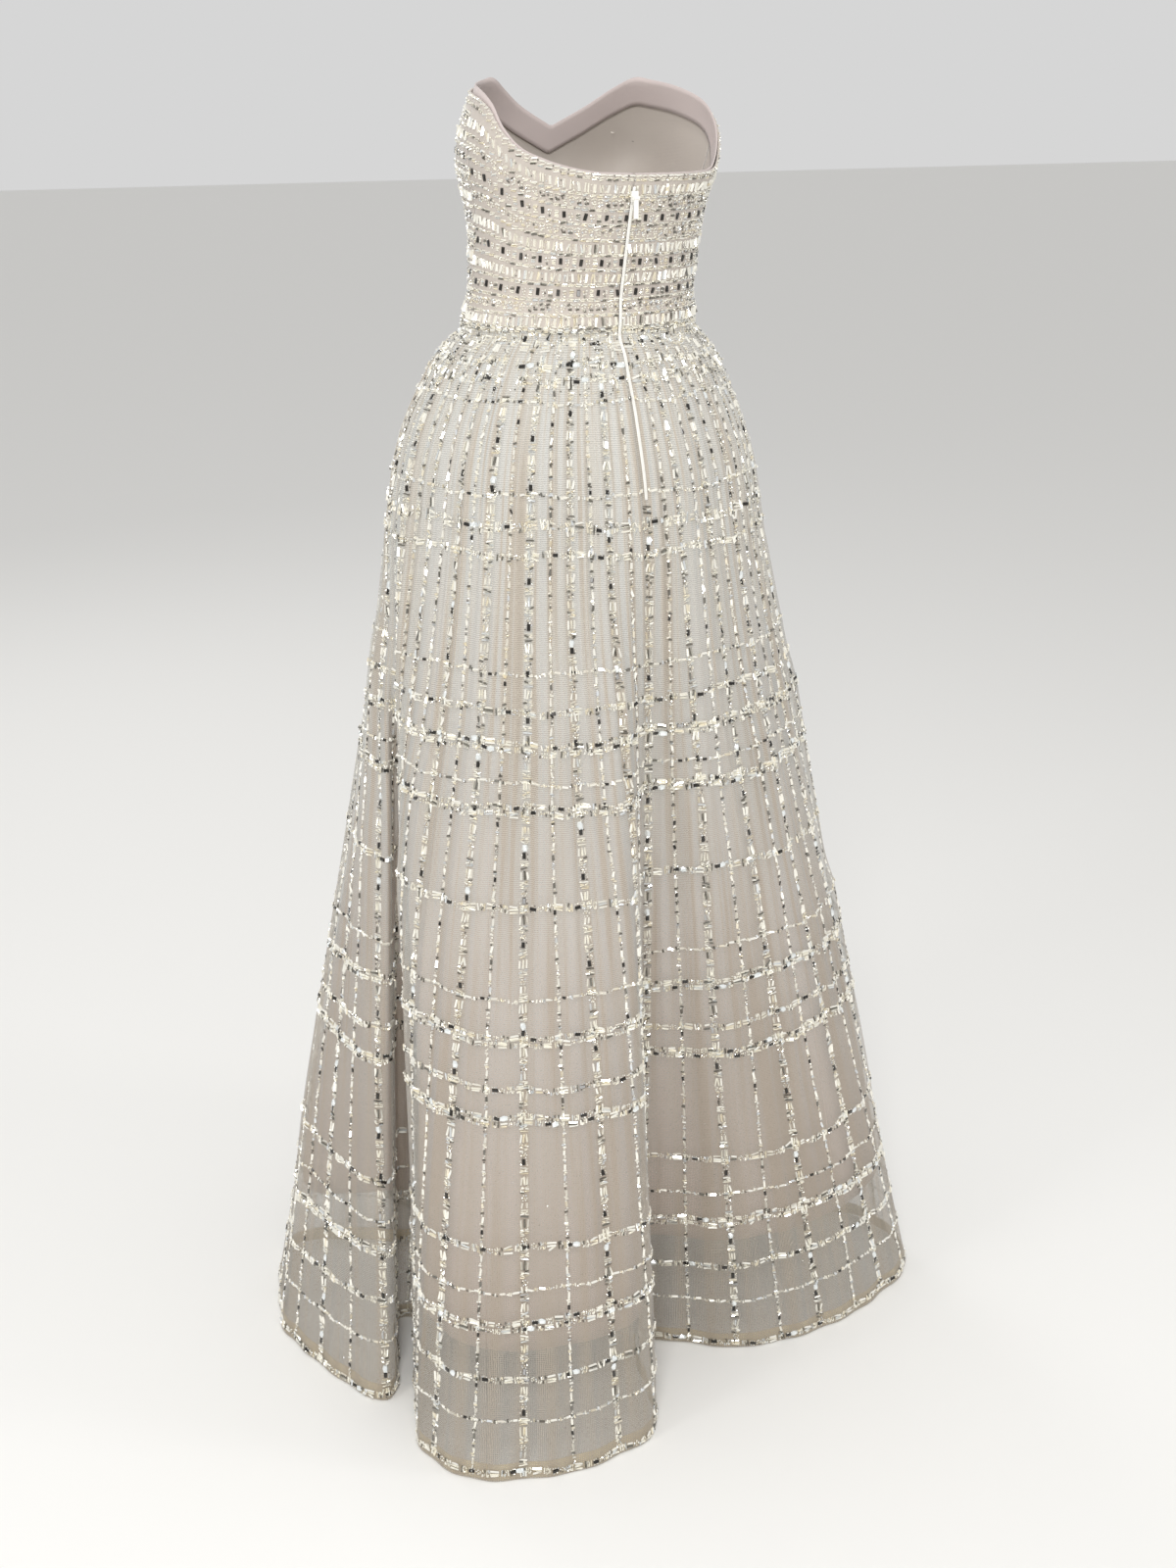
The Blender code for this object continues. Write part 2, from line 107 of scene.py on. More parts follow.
skirtForm = {
    "length": 1.08,
    "hipDrop": 0.20,
    "hemCentre": (-0.008, 0.004),
    "spanSteps": 36,      # points between two fold lines
    "ringSteps": 2400,    # points round a ring once its length is shared out evenly
    "dropStep": 0.005,
}
skirtOutline = (
    # drop, half width, half depth, shift to the left, shift to the back
    (0.000, 0.1150, 0.0930, 0.000, 0.000),
    (0.005, 0.1150, 0.0930, 0.000, 0.000),
    (0.018, 0.1280, 0.1070, 0.001, -0.001),
    (0.036, 0.1400, 0.1200, 0.002, -0.002),
    (0.060, 0.1525, 0.1340, 0.003, -0.002),
    (0.090, 0.1660, 0.1480, 0.004, -0.002),
    (0.125, 0.1770, 0.1600, 0.004, -0.002),
    (0.165, 0.1840, 0.1680, 0.004, -0.002),
    (0.200, 0.1890, 0.1740, 0.004, -0.002),
)
foldLines = (
    # name, angle at the hip, angle at the hem, distance from the hem's centre
    ("centre back valley, seam", 0, -3, 0.1355),
    ("centre back valley, left corner", 1.5, 1.6, 0.137),
    ("back fold, right shoulder", 9, 11.5, 0.285),
    ("back fold, crown", 47, 40, 0.362),
    ("back fold, left shoulder", 85, 55.5, 0.344),
    ("left side valley, back corner", 89.5, 91.8, 0.202),
    ("left side valley, seam", 91, 93, 0.212),
    ("left side valley, front corner", 92.5, 94, 0.222),
    ("left fold, back shoulder", 102, 66.5, 0.303),
    ("left fold, crown", 118, 97, 0.345),
    ("left fold, front shoulder", 140, 126, 0.350),
    ("front left valley, left corner", 144.5, 138, 0.205),
    ("front left valley, right corner", 147.5, 144, 0.205),
    ("front fold, left shoulder", 152, 153, 0.335),
    ("front fold, crown", 178, 172, 0.362),
    ("front fold, right shoulder", 204, 193, 0.345),
    ("front right valley, left corner", 208.5, 203, 0.200),
    ("front right valley, right corner", 211.5, 209, 0.200),
    ("right front fold, left shoulder", 216, 217, 0.335),
    ("right front fold, crown", 236, 234, 0.360),
    ("right front fold, right shoulder", 258, 252, 0.345),
    ("right side valley, front corner", 263.5, 259, 0.215),
    ("right side valley, seam", 265, 262, 0.214),
    ("right side valley, back corner", 266.5, 265, 0.215),
    ("right fold, front shoulder", 272, 270, 0.345),
    ("right fold, crown", 290, 286, 0.375),
    ("right fold, back flank", 318, 307, 0.303),
    ("right fold, inner flank", 349, 331, 0.212),
    ("centre back valley, right corner", 358.5, 352.4, 0.135),
)
liningLines = tuple(line for line in foldLines if line[0] != "left fold, back shoulder")
hemSwing = {"back fold, left shoulder": -0.018,      # metres round the hem, below the knee
            "left fold, back shoulder": 0.005}
seamLines = {
    "leftGore": "back fold, crown",
    "leftSide": "left side valley, seam",
    "rightSide": "right side valley, seam",
    "rightGore": "right fold, back flank",
}


def foldFrame(drops, lines):
    # Plan places of the fold lines, one ring for each drop: on the outline's ellipse down to
    # the hip, then along a straight line to the hem.
    upper = np.minimum(drops, skirtForm["hipDrop"])
    halfWidth, halfDepth, shiftX, shiftY = [smoothTable(upper, skirtOutline, k)[:, None]
                                            for k in (1, 2, 3, 4)]
    hipTurn = np.radians([line[1] for line in lines])
    hip = np.stack([shiftX + halfWidth * np.sin(hipTurn),
                    shiftY + halfDepth * np.cos(hipTurn)], axis=-1)
    hemTurn = np.radians([line[2] for line in lines])
    reach = np.array([line[3] for line in lines])
    hem = np.stack([skirtForm["hemCentre"][0] + reach * np.sin(hemTurn),
                    skirtForm["hemCentre"][1] + reach * np.cos(hemTurn)], axis=-1)
    fall = np.clip((drops - skirtForm["hipDrop"]) / (skirtForm["length"] - skirtForm["hipDrop"]),
                   0, None)
    swing = np.array([hemSwing.get(line[0], 0.0) for line in lines])
    sideways = np.stack([np.cos(hemTurn), -np.sin(hemTurn)], axis=-1) * swing[:, None]
    late = smoothStep(0.45, 0.85, drops)[:, None, None]
    return hip + fall[:, None, None] * (hem - hip) + late * sideways


def insetFrame(corners, distance):
    # Each ring moved inwards by its own distance, every corner along its mitre.
    before = unit(corners - np.roll(corners, 1, axis=1))
    after = unit(np.roll(corners, -1, axis=1) - corners)
    mitre = np.stack([before[..., 1] + after[..., 1], -before[..., 0] - after[..., 0]], axis=-1)
    scale = 2.0 / np.maximum((mitre**2).sum(axis=-1, keepdims=True), 0.5)
    return corners + mitre * scale * distance[:, None, None]


def closedCurve(corners, steps):
    # A centripetal Catmull-Rom curve through the corners of every ring at once.
    places = [np.roll(corners, shift, axis=1) for shift in (1, 0, -1, -2)]
    gaps = [np.sqrt(np.linalg.norm(b - a, axis=-1)) for a, b in zip(places, places[1:])]
    knots = [np.zeros_like(gaps[0]), gaps[0], gaps[0] + gaps[1], gaps[0] + gaps[1] + gaps[2]]
    knots = [knot[..., None] for knot in knots]
    at = knots[1] + (knots[2] - knots[1]) * np.arange(steps) / steps

    def between(a, b, low, high):
        part = ((at - knots[low]) / (knots[high] - knots[low]))[..., None]
        return (1 - part) * a + part * b

    level = [place[:, :, None, :] for place in places]
    level = [between(level[k], level[k + 1], k, k + 1) for k in range(3)]
    level = [between(level[k], level[k + 1], k, k + 2) for k in range(2)]
    curve = between(level[0], level[1], 1, 2)
    return curve.reshape(len(corners), -1, 2)


def ringTable(drops, lines, inset):
    # Rings at even shares of their own length, with the shares at which the fold lines lie.
    steps, count = skirtForm["spanSteps"], skirtForm["ringSteps"]
    curve = closedCurve(insetFrame(foldFrame(drops, lines), inset), steps)
    closed = closeRing(curve)
    run = np.cumsum(np.linalg.norm(np.diff(closed, axis=1), axis=-1), axis=1)
    run = np.concatenate([np.zeros((len(drops), 1)), run], axis=1)
    length = run[:, -1]
    share = run / length[:, None]
    even = np.linspace(0, 1, count + 1)
    plan = np.array([[np.interp(even, share[row], closed[row, :, axis]) for axis in (0, 1)]
                     for row in range(len(drops))]).transpose(0, 2, 1)
    return {"drops": drops, "plan": plan, "length": length, "names": [line[0] for line in lines],
            "corners": share[:, :-1:steps]}


def outwardOf(plan):
    # The plan's unit normal, pointing away from the wearer, and the radius of its bend.
    ahead = np.roll(plan[:, :-1], -3, axis=1)
    back = np.roll(plan[:, :-1], 3, axis=1)
    along = unit(ahead - back)
    outward = np.stack([-along[..., 1], along[..., 0]], axis=-1)
    turn = np.linalg.norm(np.roll(along, -3, axis=1) - np.roll(along, 3, axis=1), axis=-1)
    radius = np.linalg.norm(ahead - back, axis=-1) / np.maximum(turn, 1e-6)
    return closeRing(outward), closeRing(radius)


gathers = {
    "lines": 60,            # bead lines round the skirt, thick and thin in turn
    "swell": 0.0011,        # how far the net swells out between two lines
    "pleats": 176,          # fine pleats that start in the waist seam
    "pleatDepth": 0.0029,
    "pleatWidth": 0.0034,
    "softFolds": 34,        # broad soft folds lower down
    "softDepth": 0.0055,
    "softWidth": 0.017,
    "pleatStarts": (0.0, 0.03),      # ranges of the drops at which they start and end
    "pleatEnds": (0.45, 1.0),
    "softStarts": (0.22, 0.60),
    "softEnds": (0.95, 1.6),
}
pleatHabits = {
    "jitter": 0.34,          # how far a pleat strays from its even place, in pleats
    "strength": (0.35, 1.0),
    "grown": 0.05,           # the drop in which it grows, and the one in which it dies away
    "gone": 0.16,
    "drift": 0.003,
    "driftWaves": (4, 9),
    "spread": (0.7, 1.5),
    "topWidth": 0.55,        # its width at the waist, and how fast it widens down the skirt
    "widening": 1.3,
}
bendRoom = (0.004, 0.030)    # radii of a bend that leaves a wave no room, and its full room


def pleatWaves(table, count, depth, width, starts, ends, seed):
    # A sum of ridges with a bell profile. Each keeps its share of the ring as it runs down,
    # drifts a little, grows from its start and dies away before its end.
    draw = np.random.default_rng(seed)
    drops = table["drops"][:, None]
    even = np.linspace(0, 1, table["plan"].shape[1])[None, :]
    total = np.zeros((len(table["drops"]), table["plan"].shape[1]))
    habits = pleatHabits
    jitter = habits["jitter"]
    centres = (np.arange(count) + draw.uniform(-jitter, jitter, count)) / count
    for centre in centres:
        top, foot = draw.uniform(*starts), draw.uniform(*ends)
        strength = draw.uniform(*habits["strength"]) * depth
        strength = strength * smoothStep(top, top + habits["grown"], drops)
        strength = strength * (1 - smoothStep(foot - habits["gone"], foot, drops))
        drift = draw.uniform(-habits["drift"], habits["drift"])
        drift = drift * np.sin(drops * draw.uniform(*habits["driftWaves"]))
        away = (even - centre - drift + 0.5) % 1.0 - 0.5
        spread = width * draw.uniform(*habits["spread"])
        spread = spread * (habits["topWidth"] + habits["widening"] * drops)
        total += strength * np.exp(-(away * table["length"][:, None] / spread) ** 2)
    return total - total.mean(axis=1, keepdims=True)


def formTable(table, wave):
    # Adds the height to the plan, and the wave along the normal, less where the ring bends hard.
    outward, radius = outwardOf(table["plan"])
    room = smoothStep(*bendRoom, radius)
    kernel = np.ones(9) / 9
    room = np.array([np.convolve(np.concatenate([row[-5:-1], row, row[1:5]]), kernel, "valid")
                     for row in room])
    plan = table["plan"] + outward * (wave * room)[..., None]
    height = np.broadcast_to(-table["drops"][:, None, None], plan.shape[:2] + (1,))
    table["points"] = np.concatenate([plan, height], axis=-1)
    return table


def samplePoints(table, share, drop):
    # Points of the form at any share and drop, blended from the four nearest table points.
    share, drop = np.broadcast_arrays(share, drop)
    points, drops = table["points"], table["drops"]
    count = points.shape[1] - 1
    column = np.where((share < 0) | (share > 1), share % 1.0, share) * count
    left = np.clip(column.astype(int), 0, count - 1)
    row = np.clip((drop - drops[0]) / (drops[1] - drops[0]), 0, len(drops) - 1.001)
    upper = row.astype(int)
    across, down = (column - left)[..., None], (row - upper)[..., None]
    top = (1 - across) * points[upper, left] + across * points[upper, left + 1]
    foot = (1 - across) * points[upper + 1, left] + across * points[upper + 1, left + 1]
    return (1 - down) * top + down * foot


def cornerShare(table, name, drop, last=False):
    # The share at which a seam runs, at any drop.
    if name == "centreBack":
        return np.full(np.shape(drop), 1.0 if last else 0.0)
    column = table["names"].index(seamLines[name])
    return np.interp(drop, table["drops"], table["corners"][:, column])


tableDrops = np.arange(0, skirtForm["length"] + skirtForm["dropStep"], skirtForm["dropStep"])
tulleTable = ringTable(tableDrops, foldLines, np.zeros(len(tableDrops)))
lineWave = -np.cos(2 * math.pi * gathers["lines"] * np.linspace(0, 1, skirtForm["ringSteps"] + 1))
swellDepth = gathers["swell"] * smoothStep(0.0, 0.05, tableDrops)
tulleWave = swellDepth[:, None] * lineWave[None, :]
tulleWave = tulleWave + pleatWaves(tulleTable, gathers["pleats"], gathers["pleatDepth"],
                                   gathers["pleatWidth"], gathers["pleatStarts"],
                                   gathers["pleatEnds"], seed=11)
tulleWave = tulleWave + pleatWaves(tulleTable, gathers["softFolds"], gathers["softDepth"],
                                   gathers["softWidth"], gathers["softStarts"],
                                   gathers["softEnds"], seed=12)
formTable(tulleTable, tulleWave)

liningForm = {
    "length": 0.930,
    "top": 0.001,
    "standoffs": ((0.000, 0.0022), (0.005, 0.0030), (0.018, 0.0060), (0.036, 0.0074)),
    "pleats": 84,
    "pleatDepth": 0.0026,
    "pleatWidth": 0.0062,
    "pleatStarts": (0.01, 0.10),
    "pleatEnds": (0.8, 1.7),
    "waveLimit": 0.0022,     # so that the lining keeps clear of the tulle
    "hemDepth": 0.017,
    "hemWaves": ((0.085, 0.10, 0.024), (0.27, 0.07, -0.012), (0.90, 0.10, 0.020)),
}
standoffRows = np.array(liningForm["standoffs"])
liningInset = np.interp(tableDrops, standoffRows[:, 0], standoffRows[:, 1])
liningTable = ringTable(tableDrops, liningLines, liningInset)
liningWave = pleatWaves(liningTable, liningForm["pleats"], liningForm["pleatDepth"],
                        liningForm["pleatWidth"], liningForm["pleatStarts"],
                        liningForm["pleatEnds"], seed=13)
liningWave = np.minimum(liningWave, liningForm["waveLimit"])
formTable(liningTable, liningWave)
print("skirt form worked out, waist ring", round(float(tulleTable["length"][0]), 3),
      "m, hem ring", round(float(tulleTable["length"][-1]), 3), "m")


# The bodice's form.

bodiceForm = {
    "lean": (-0.083, 0.036),
    "cupAngle": 143,
    "cupSpread": 21,
    "sideAngle": 92,
    "wall": 0.0020,
    "seamGap": 0.00015,
    "rows": 44,
    "thickness": 0.0016,
    "seamAngle": 0.06,
    "facingClearance": 0.0012,
    "facingDepth": 0.026,
    "facingShow": ((50, 95), (0.0010, 0.0060)),   # above the edge, at the back and at the cups
    "facingAngles": (0.5, 359.5, 240),
    "facingRows": 7,
    "facingThickness": 0.0010,
}
bodiceSections = (
    # height, half width, depth at the back, depth at the front, cup
    (0.000, 0.1150, 0.0930, 0.0930, 0.000),
    (0.005, 0.1150, 0.0930, 0.0930, 0.000),
    (0.028, 0.1105, 0.0890, 0.0920, 0.001),
    (0.055, 0.1105, 0.0900, 0.0980, 0.005),
    (0.085, 0.1115, 0.0915, 0.1040, 0.012),
    (0.115, 0.1155, 0.0940, 0.1080, 0.020),
    (0.140, 0.1215, 0.0970, 0.1100, 0.024),
    (0.175, 0.1255, 0.0990, 0.1070, 0.019),
    (0.215, 0.1200, 0.0980, 0.1000, 0.006),
)
neckline = (
    # angle from the centre back, height on the left side, height on the right side
    (0, 0.1385, 0.1385),
    (20, 0.141, 0.138),
    (42, 0.152, 0.138),
    (55, 0.163, 0.139),
    (64, 0.177, 0.143),
    (73, 0.193, 0.153),
    (82, 0.201, 0.168),
    (95, 0.206, 0.188),
    (115, 0.209, 0.203),
    (135, 0.212, 0.211),
    (142, 0.2135, 0.213),
    (152, 0.204, 0.204),
    (165, 0.186, 0.186),
    (180, 0.168, 0.168),
)


def neckHeight(angle):
    # Height of the neckline, read from the table of the side on which the angle lies.
    turn = np.mod(angle, 360)
    left = smoothTable(turn, neckline, 1)
    right = smoothTable(360 - turn, neckline, 2)
    return np.where(turn <= 180, left, right)


def bodicePoints(angle, height, inward=0.0):
    # An ellipse with its own back and front depth at each height, leaning with the height, with
    # a bell-shaped swelling for each cup, and moved in along the plan's normal.
    angle, height = np.broadcast_arrays(np.asarray(angle, float), np.asarray(height, float))

    def plan(turn):
        halfWidth, back, front, cup = [smoothTable(height, bodiceSections, k)
                                       for k in (1, 2, 3, 4)]
        depth = np.where(np.cos(np.radians(turn)) > 0, back, front)
        swell = sum(np.exp(-((np.mod(turn, 360) - centre) / bodiceForm["cupSpread"]) ** 2)
                    for centre in (bodiceForm["cupAngle"], 360 - bodiceForm["cupAngle"]))
        x = bodiceForm["lean"][0] * height + (halfWidth + cup * swell) * np.sin(np.radians(turn))
        y = bodiceForm["lean"][1] * height + (depth + cup * swell) * np.cos(np.radians(turn))
        return np.stack([x, y], axis=-1)

    place = plan(angle)
    along = unit(plan(angle + 2) - plan(angle - 2))
    place = place + np.stack([along[..., 1], -along[..., 0]], axis=-1) * inward
    return np.concatenate([place, height[..., None]], axis=-1)


# Meshes from grids.

def addObject(name, data):
    # Puts a mesh, light or camera into the scene.
    thing = bpy.data.objects.new(name, data)
    bpy.context.scene.collection.objects.link(thing)
    return thing


def gridMesh(name, points, uv, material, thickness=0.0):
    # Joins a grid of points, rows from the top down and columns from the right, into quads.
    down, across = points.shape[:2]
    corner = np.arange(down * across).reshape(down, across)
    quads = np.stack([corner[:-1, :-1], corner[:-1, 1:], corner[1:, 1:], corner[1:, :-1]],
                     axis=-1).reshape(-1, 4)
    mesh = bpy.data.meshes.new(name)
    mesh.from_pydata(points.reshape(-1, 3).tolist(), [], quads.tolist())
    layer = mesh.uv_layers.new(name="cloth")
    layer.data.foreach_set("uv", uv.reshape(-1, 2)[quads.ravel()].astype(np.float32).ravel())
    mesh.shade_smooth()
    mesh.materials.append(material)
    piece = addObject(name, mesh)
    if thickness:
        wall = piece.modifiers.new("cloth thickness", "SOLIDIFY")
        wall.thickness = thickness
        wall.offset = -1.0
    return piece


def clothSizes(points):
    # The cut's width at its longest row, its mean length down the cloth and its area.
    steps = np.linalg.norm(np.diff(points, axis=1), axis=-1)
    falls = np.linalg.norm(np.diff(points, axis=0), axis=-1)
    side = np.diff(points, axis=1)[:-1]
    drop = np.diff(points, axis=0)[:, :-1]
    area = np.linalg.norm(np.cross(side, drop), axis=-1).sum()
    return float(steps.sum(axis=1).max()), float(falls.sum(axis=0).mean()), float(area)


cutSizes = {}


def declareCloth(piece, points):
    # States the flat cut that this piece of cloth was before it was sewn, from its own form.
    width, length, area = clothSizes(points)
    flatArea = min(area, width * length)
    cutSizes[piece.name] = (round(width, 3), round(length, 3), round(flatArea, 4))


# Finishes. Colours are sRGB hex values.

waveRepeat = 0.314      # the distance between two bands of a wave texture at scale 1, in metres


def toLinear(hexColour):
    # sRGB to linear light, by the usual curve with its straight foot.
    parts = [int(hexColour[k:k + 2], 16) / 255 for k in (1, 3, 5)]
    return tuple(p / 12.92 if p <= 0.04045 else ((p + 0.055) / 1.055) ** 2.4
                 for p in parts) + (1.0,)


def addNode(tree, kind, settings=None, links=None):
    # One node. Settings go to its properties or sockets, links bring in other nodes' outputs.
    node = tree.nodes.new("ShaderNode" + kind)
    for key, value in (settings or {}).items():
        if isinstance(key, str) and hasattr(node, key):
            setattr(node, key, value)
        else:
            node.inputs[key].default_value = value
    for key, (source, output) in (links or {}).items():
        tree.links.new(source.outputs[output], node.inputs[key])
    return node


def newMaterial(name, settings):
    # An empty material with a Principled shader on its output.
    material = bpy.data.materials.new(name)
    material.use_nodes = True
    tree = material.node_tree
    tree.nodes.clear()
    shader = addNode(tree, "BsdfPrincipled", settings)
    addNode(tree, "OutputMaterial", {}, {"Surface": (shader, "BSDF")})
    return material, tree, shader


def nylonTulle(name, colour, shade, spread, single, double, mesh=1.9 * millimetre):
    # Nylon tulle, knitted as a fine hexagon net: soft, dull and see-through between its
    # threads. The real holes are about 1 mm, and they are drawn 1.9 mm wide so that they show.
    # Where the gathers fold the net over itself, long streaks look denser and warmer, and near
    # the waist the net is crowded together, so that it is whiter and hides more of the lining.
    # Lower down, the colour is mixed towards the darker spread colour: painted shade for the
    # light that falls off towards the hem.
    material, tree, shader = newMaterial(name, {
        "Roughness": 0.62, "Sheen Weight": 0.3, "Sheen Roughness": 0.45,
        "Specular IOR Level": 0.25})
    uv = addNode(tree, "UVMap", {"uv_map": "cloth"})
    net = addNode(tree, "TexVoronoi",
                  {"feature": "DISTANCE_TO_EDGE", "Scale": 1 / mesh, "Randomness": 0.35},
                  {"Vector": (uv, "UV")})
    threads = addNode(tree, "MapRange",
                      {"From Min": 0.05, "From Max": 0.32, "To Min": 1.0, "To Max": 0.0},
                      {"Value": (net, "Distance")})
    stretch = addNode(tree, "Mapping", {"Scale": (62.0, 1.9, 1.0)}, {"Vector": (uv, "UV")})
    folds = addNode(tree, "TexNoise", {"Scale": 1.0, "Detail": 2.5, "Roughness": 0.6},
                    {"Vector": (stretch, "Vector")})
    streak = addNode(tree, "MapRange", {"From Min": 0.40, "From Max": 0.60},
                     {"Value": (folds, "Fac")})
    mix = addNode(tree, "Mix", {"data_type": "RGBA", 6: toLinear(colour), 7: toLinear(shade)},
                  {0: (streak, "Result")})
    fall = addNode(tree, "SeparateXYZ", {}, {"Vector": (uv, "UV")})
    # Painted shade: from 0.55 m to 1 m below the waist the colour darkens towards spread, up to
    # three quarters of the way.
    paintedHemShade = addNode(tree, "MapRange",
                     {"From Min": -0.55, "From Max": -1.0, "To Min": 0.0, "To Max": 0.75},
                     {"Value": (fall, "Y")})
    tone = addNode(tree, "Mix", {"data_type": "RGBA", 7: toLinear(spread)},
                   {0: (paintedHemShade, "Result"), 6: (mix, 2)})
    tree.links.new(tone.outputs[2], shader.inputs["Base Color"])
    dense = addNode(tree, "MapRange", {"To Min": single, "To Max": double},
                    {"Value": (streak, "Result")})
    gap = addNode(tree, "MapRange", {"To Min": 0.62, "To Max": 1.45},
                  {"Value": (threads, "Result")})
    crowd = addNode(tree, "MapRange",
                    {"From Min": -0.60, "From Max": -0.08, "To Min": 1.0, "To Max": 1.55},
                    {"Value": (fall, "Y")})
    crowded = addNode(tree, "Math", {"operation": "MULTIPLY"},
                      {0: (dense, "Result"), 1: (crowd, "Result")})
    cover = addNode(tree, "Math", {"operation": "MULTIPLY", "use_clamp": True},
                    {0: (crowded, "Value"), 1: (gap, "Result")})
    tree.links.new(cover.outputs["Value"], shader.inputs["Alpha"])
    bump = addNode(tree, "Bump", {"Strength": 0.25, "Distance": 0.0003},
                   {"Height": (threads, "Result")})
    tree.links.new(bump.outputs["Normal"], shader.inputs["Normal"])
    return material


def wovenCloth(name, colour, shade, roughness, sheen, pitch, relief):
    # Plain or satin weave: two crossed sets of threads at the real pitch, with a slow change
    # of tone from the cloth's folds and handling.
    material, tree, shader = newMaterial(name, {
        "Roughness": roughness, "Sheen Weight": sheen, "Sheen Roughness": 0.4,
        "Specular IOR Level": 0.35})
    uv = addNode(tree, "UVMap", {"uv_map": "cloth"})
    warp = addNode(tree, "TexWave",
                   {"bands_direction": "X", "Scale": waveRepeat / pitch, "Distortion": 0.4},
                   {"Vector": (uv, "UV")})
    weft = addNode(tree, "TexWave",
                   {"bands_direction": "Y", "Scale": waveRepeat / pitch, "Distortion": 0.4},
                   {"Vector": (uv, "UV")})
    weave = addNode(tree, "Math", {"operation": "MULTIPLY"},
                    {0: (warp, "Fac"), 1: (weft, "Fac")})
    place = addNode(tree, "TexCoord")
    cloud = addNode(tree, "TexNoise", {"Scale": 9.0, "Detail": 4.0},
                    {"Vector": (place, "Object")})
    mix = addNode(tree, "Mix", {"data_type": "RGBA", 6: toLinear(colour), 7: toLinear(shade)},
                  {0: (cloud, "Fac")})
    tree.links.new(mix.outputs[2], shader.inputs["Base Color"])
    bump = addNode(tree, "Bump", {"Strength": relief, "Distance": 0.0002},
                   {"Height": (weave, "Value")})
    tree.links.new(bump.outputs["Normal"], shader.inputs["Normal"])
    return material


def silveredGlass(name):
    # Bugle beads, seed beads and sequins of silver-lined glass: hard, polished and bright.
    # Each bead carries its own tint, from white silver to smoke and near black; the smoke tint is
    # partly smoky glass and partly painted shade between the beads and painted dark reflections.
    material, tree, shader = newMaterial(name, {
        "Roughness": 0.14, "Metallic": 0.5, "Coat Weight": 0.8, "Coat Roughness": 0.04})
    tint = addNode(tree, "Attribute", {"attribute_name": "beadTint"})
    tree.links.new(tint.outputs["Color"], shader.inputs["Base Color"])
    return material


def enamelledZinc(name):
    # Die-cast zinc with white enamel, as on a dress zip: smooth, with a faint orange peel.
    material, tree, shader = newMaterial(name, {
        "Base Color": toLinear("#f0eee8"), "Roughness": 0.28, "Coat Weight": 0.3,
        "Coat Roughness": 0.1})
    place = addNode(tree, "TexCoord")
    peel = addNode(tree, "TexNoise", {"Scale": 900.0, "Detail": 1.0},
                   {"Vector": (place, "Object")})
    bump = addNode(tree, "Bump", {"Strength": 0.08, "Distance": 0.0001},
                   {"Height": (peel, "Fac")})
    tree.links.new(bump.outputs["Normal"], shader.inputs["Normal"])
    return material


finishes = {
    # The third colour of each tulle is the darker tone the lower skirt is mixed towards: painted
    # shade for the light falling off towards the hem.
    "tulle": nylonTulle("nylon_tulle_champagne", "#d6d7d2", "#b6ada0", "#a29788", 0.38, 0.60),
    "hemTulle": nylonTulle("nylon_tulle_turned_hem", "#dccba6", "#d3c19b", "#cfbd98", 0.80, 0.86),
    "lining": wovenCloth("polyester_satin_beige_pink", "#cab7aa", "#b9a395", 0.42, 0.2,
                         0.9 * millimetre, 0.15),
    "liningHem": wovenCloth("polyester_satin_turned_hem", "#ecd5ae", "#e2c9a0", 0.42, 0.2,
                            0.9 * millimetre, 0.15),
    "bodice": wovenCloth("tulle_over_satin_bodice", "#c6beb5", "#b2a89f", 0.55, 0.3,
                         1.3 * millimetre, 0.35),
    "facing": wovenCloth("cotton_facing_pale_pink", "#c8bcb8", "#bdb0ac", 0.7, 0.25,
                         0.8 * millimetre, 0.25),
    "zipTape": wovenCloth("polyester_zip_tape", "#f7f6f2", "#eeece6", 0.6, 0.1,
                          0.7 * millimetre, 0.3),
    "beads": silveredGlass("silver_lined_glass_beads"),
    "enamel": enamelledZinc("white_enamelled_zinc"),
}


# Skirt panels and their lining.

skirtPanels = {
    # piece: first seam, last seam, columns
    "skirt_back_left": ("centreBack", "leftGore", 110),
    "skirt_side_left": ("leftGore", "leftSide", 110),
    "skirt_front": ("leftSide", "rightSide", 360),
    "skirt_side_right": ("rightSide", "rightGore", 110),
    "skirt_back_right": ("rightGore", "centreBack", 110),
}
liningPanels = {
    "lining_back_left": ("centreBack", "leftSide", 76),
    "lining_front": ("leftSide", "rightSide", 140),
    "lining_back_right": ("rightSide", "centreBack", 76),
}
clothSettings = {
    "tulleRows": 86,
    "liningRows": 56,
    "hemThickness": 0.0003,
    "liningThickness": 0.0006,
    "clothWidth": 3.1,       # the whole skirt's width at the hem, to which the gathers open out
    "hemDepth": 0.017,
    "hemInside": 0.0011,
    "hemRows": 5,
    "hemLift": 0.0003,
    "topGap": 0.00015,
    "endGaps": 0.0004,       # what the tulle is shorter than the skirt, at both ends together
    "tulleCrowding": 1.15,   # how much closer the rows lie near the waist
    "liningCrowding": 1.1,
    "seamShare": 0.00006,
}


def panelGrid(table, seams, drops, hemShift=None):
    # A panel's points between two seams: rows at the given drops, columns at even shares.
    first, last, columns = seams
    start = cornerShare(table, first, drops) + clothSettings["seamShare"]
    end = cornerShare(table, last, drops, last=True) - clothSettings["seamShare"]
    across = np.linspace(0, 1, columns + 1)[None, :]
    share = start[:, None] + (end - start)[:, None] * across
    drop = np.broadcast_to(drops[:, None], share.shape)
    if hemShift is not None:
        drop = drop + hemShift(share) * smoothStep(0.7, 0.93, drop)
    points = samplePoints(table, share, drop)
    points[..., 2] = -drop
    uv = np.stack([share * clothSettings["clothWidth"], -drop], axis=-1)
    return points, uv


def liningHem(share):
    # The lining's hem hangs a little lower at the back and right folds, higher at the left.
    total = np.zeros_like(share)
    for centre, spread, depth in liningForm["hemWaves"]:
        away = (share - centre + 0.5) % 1.0 - 0.5
        total += depth * np.exp(-(away / spread) ** 2)
    return total


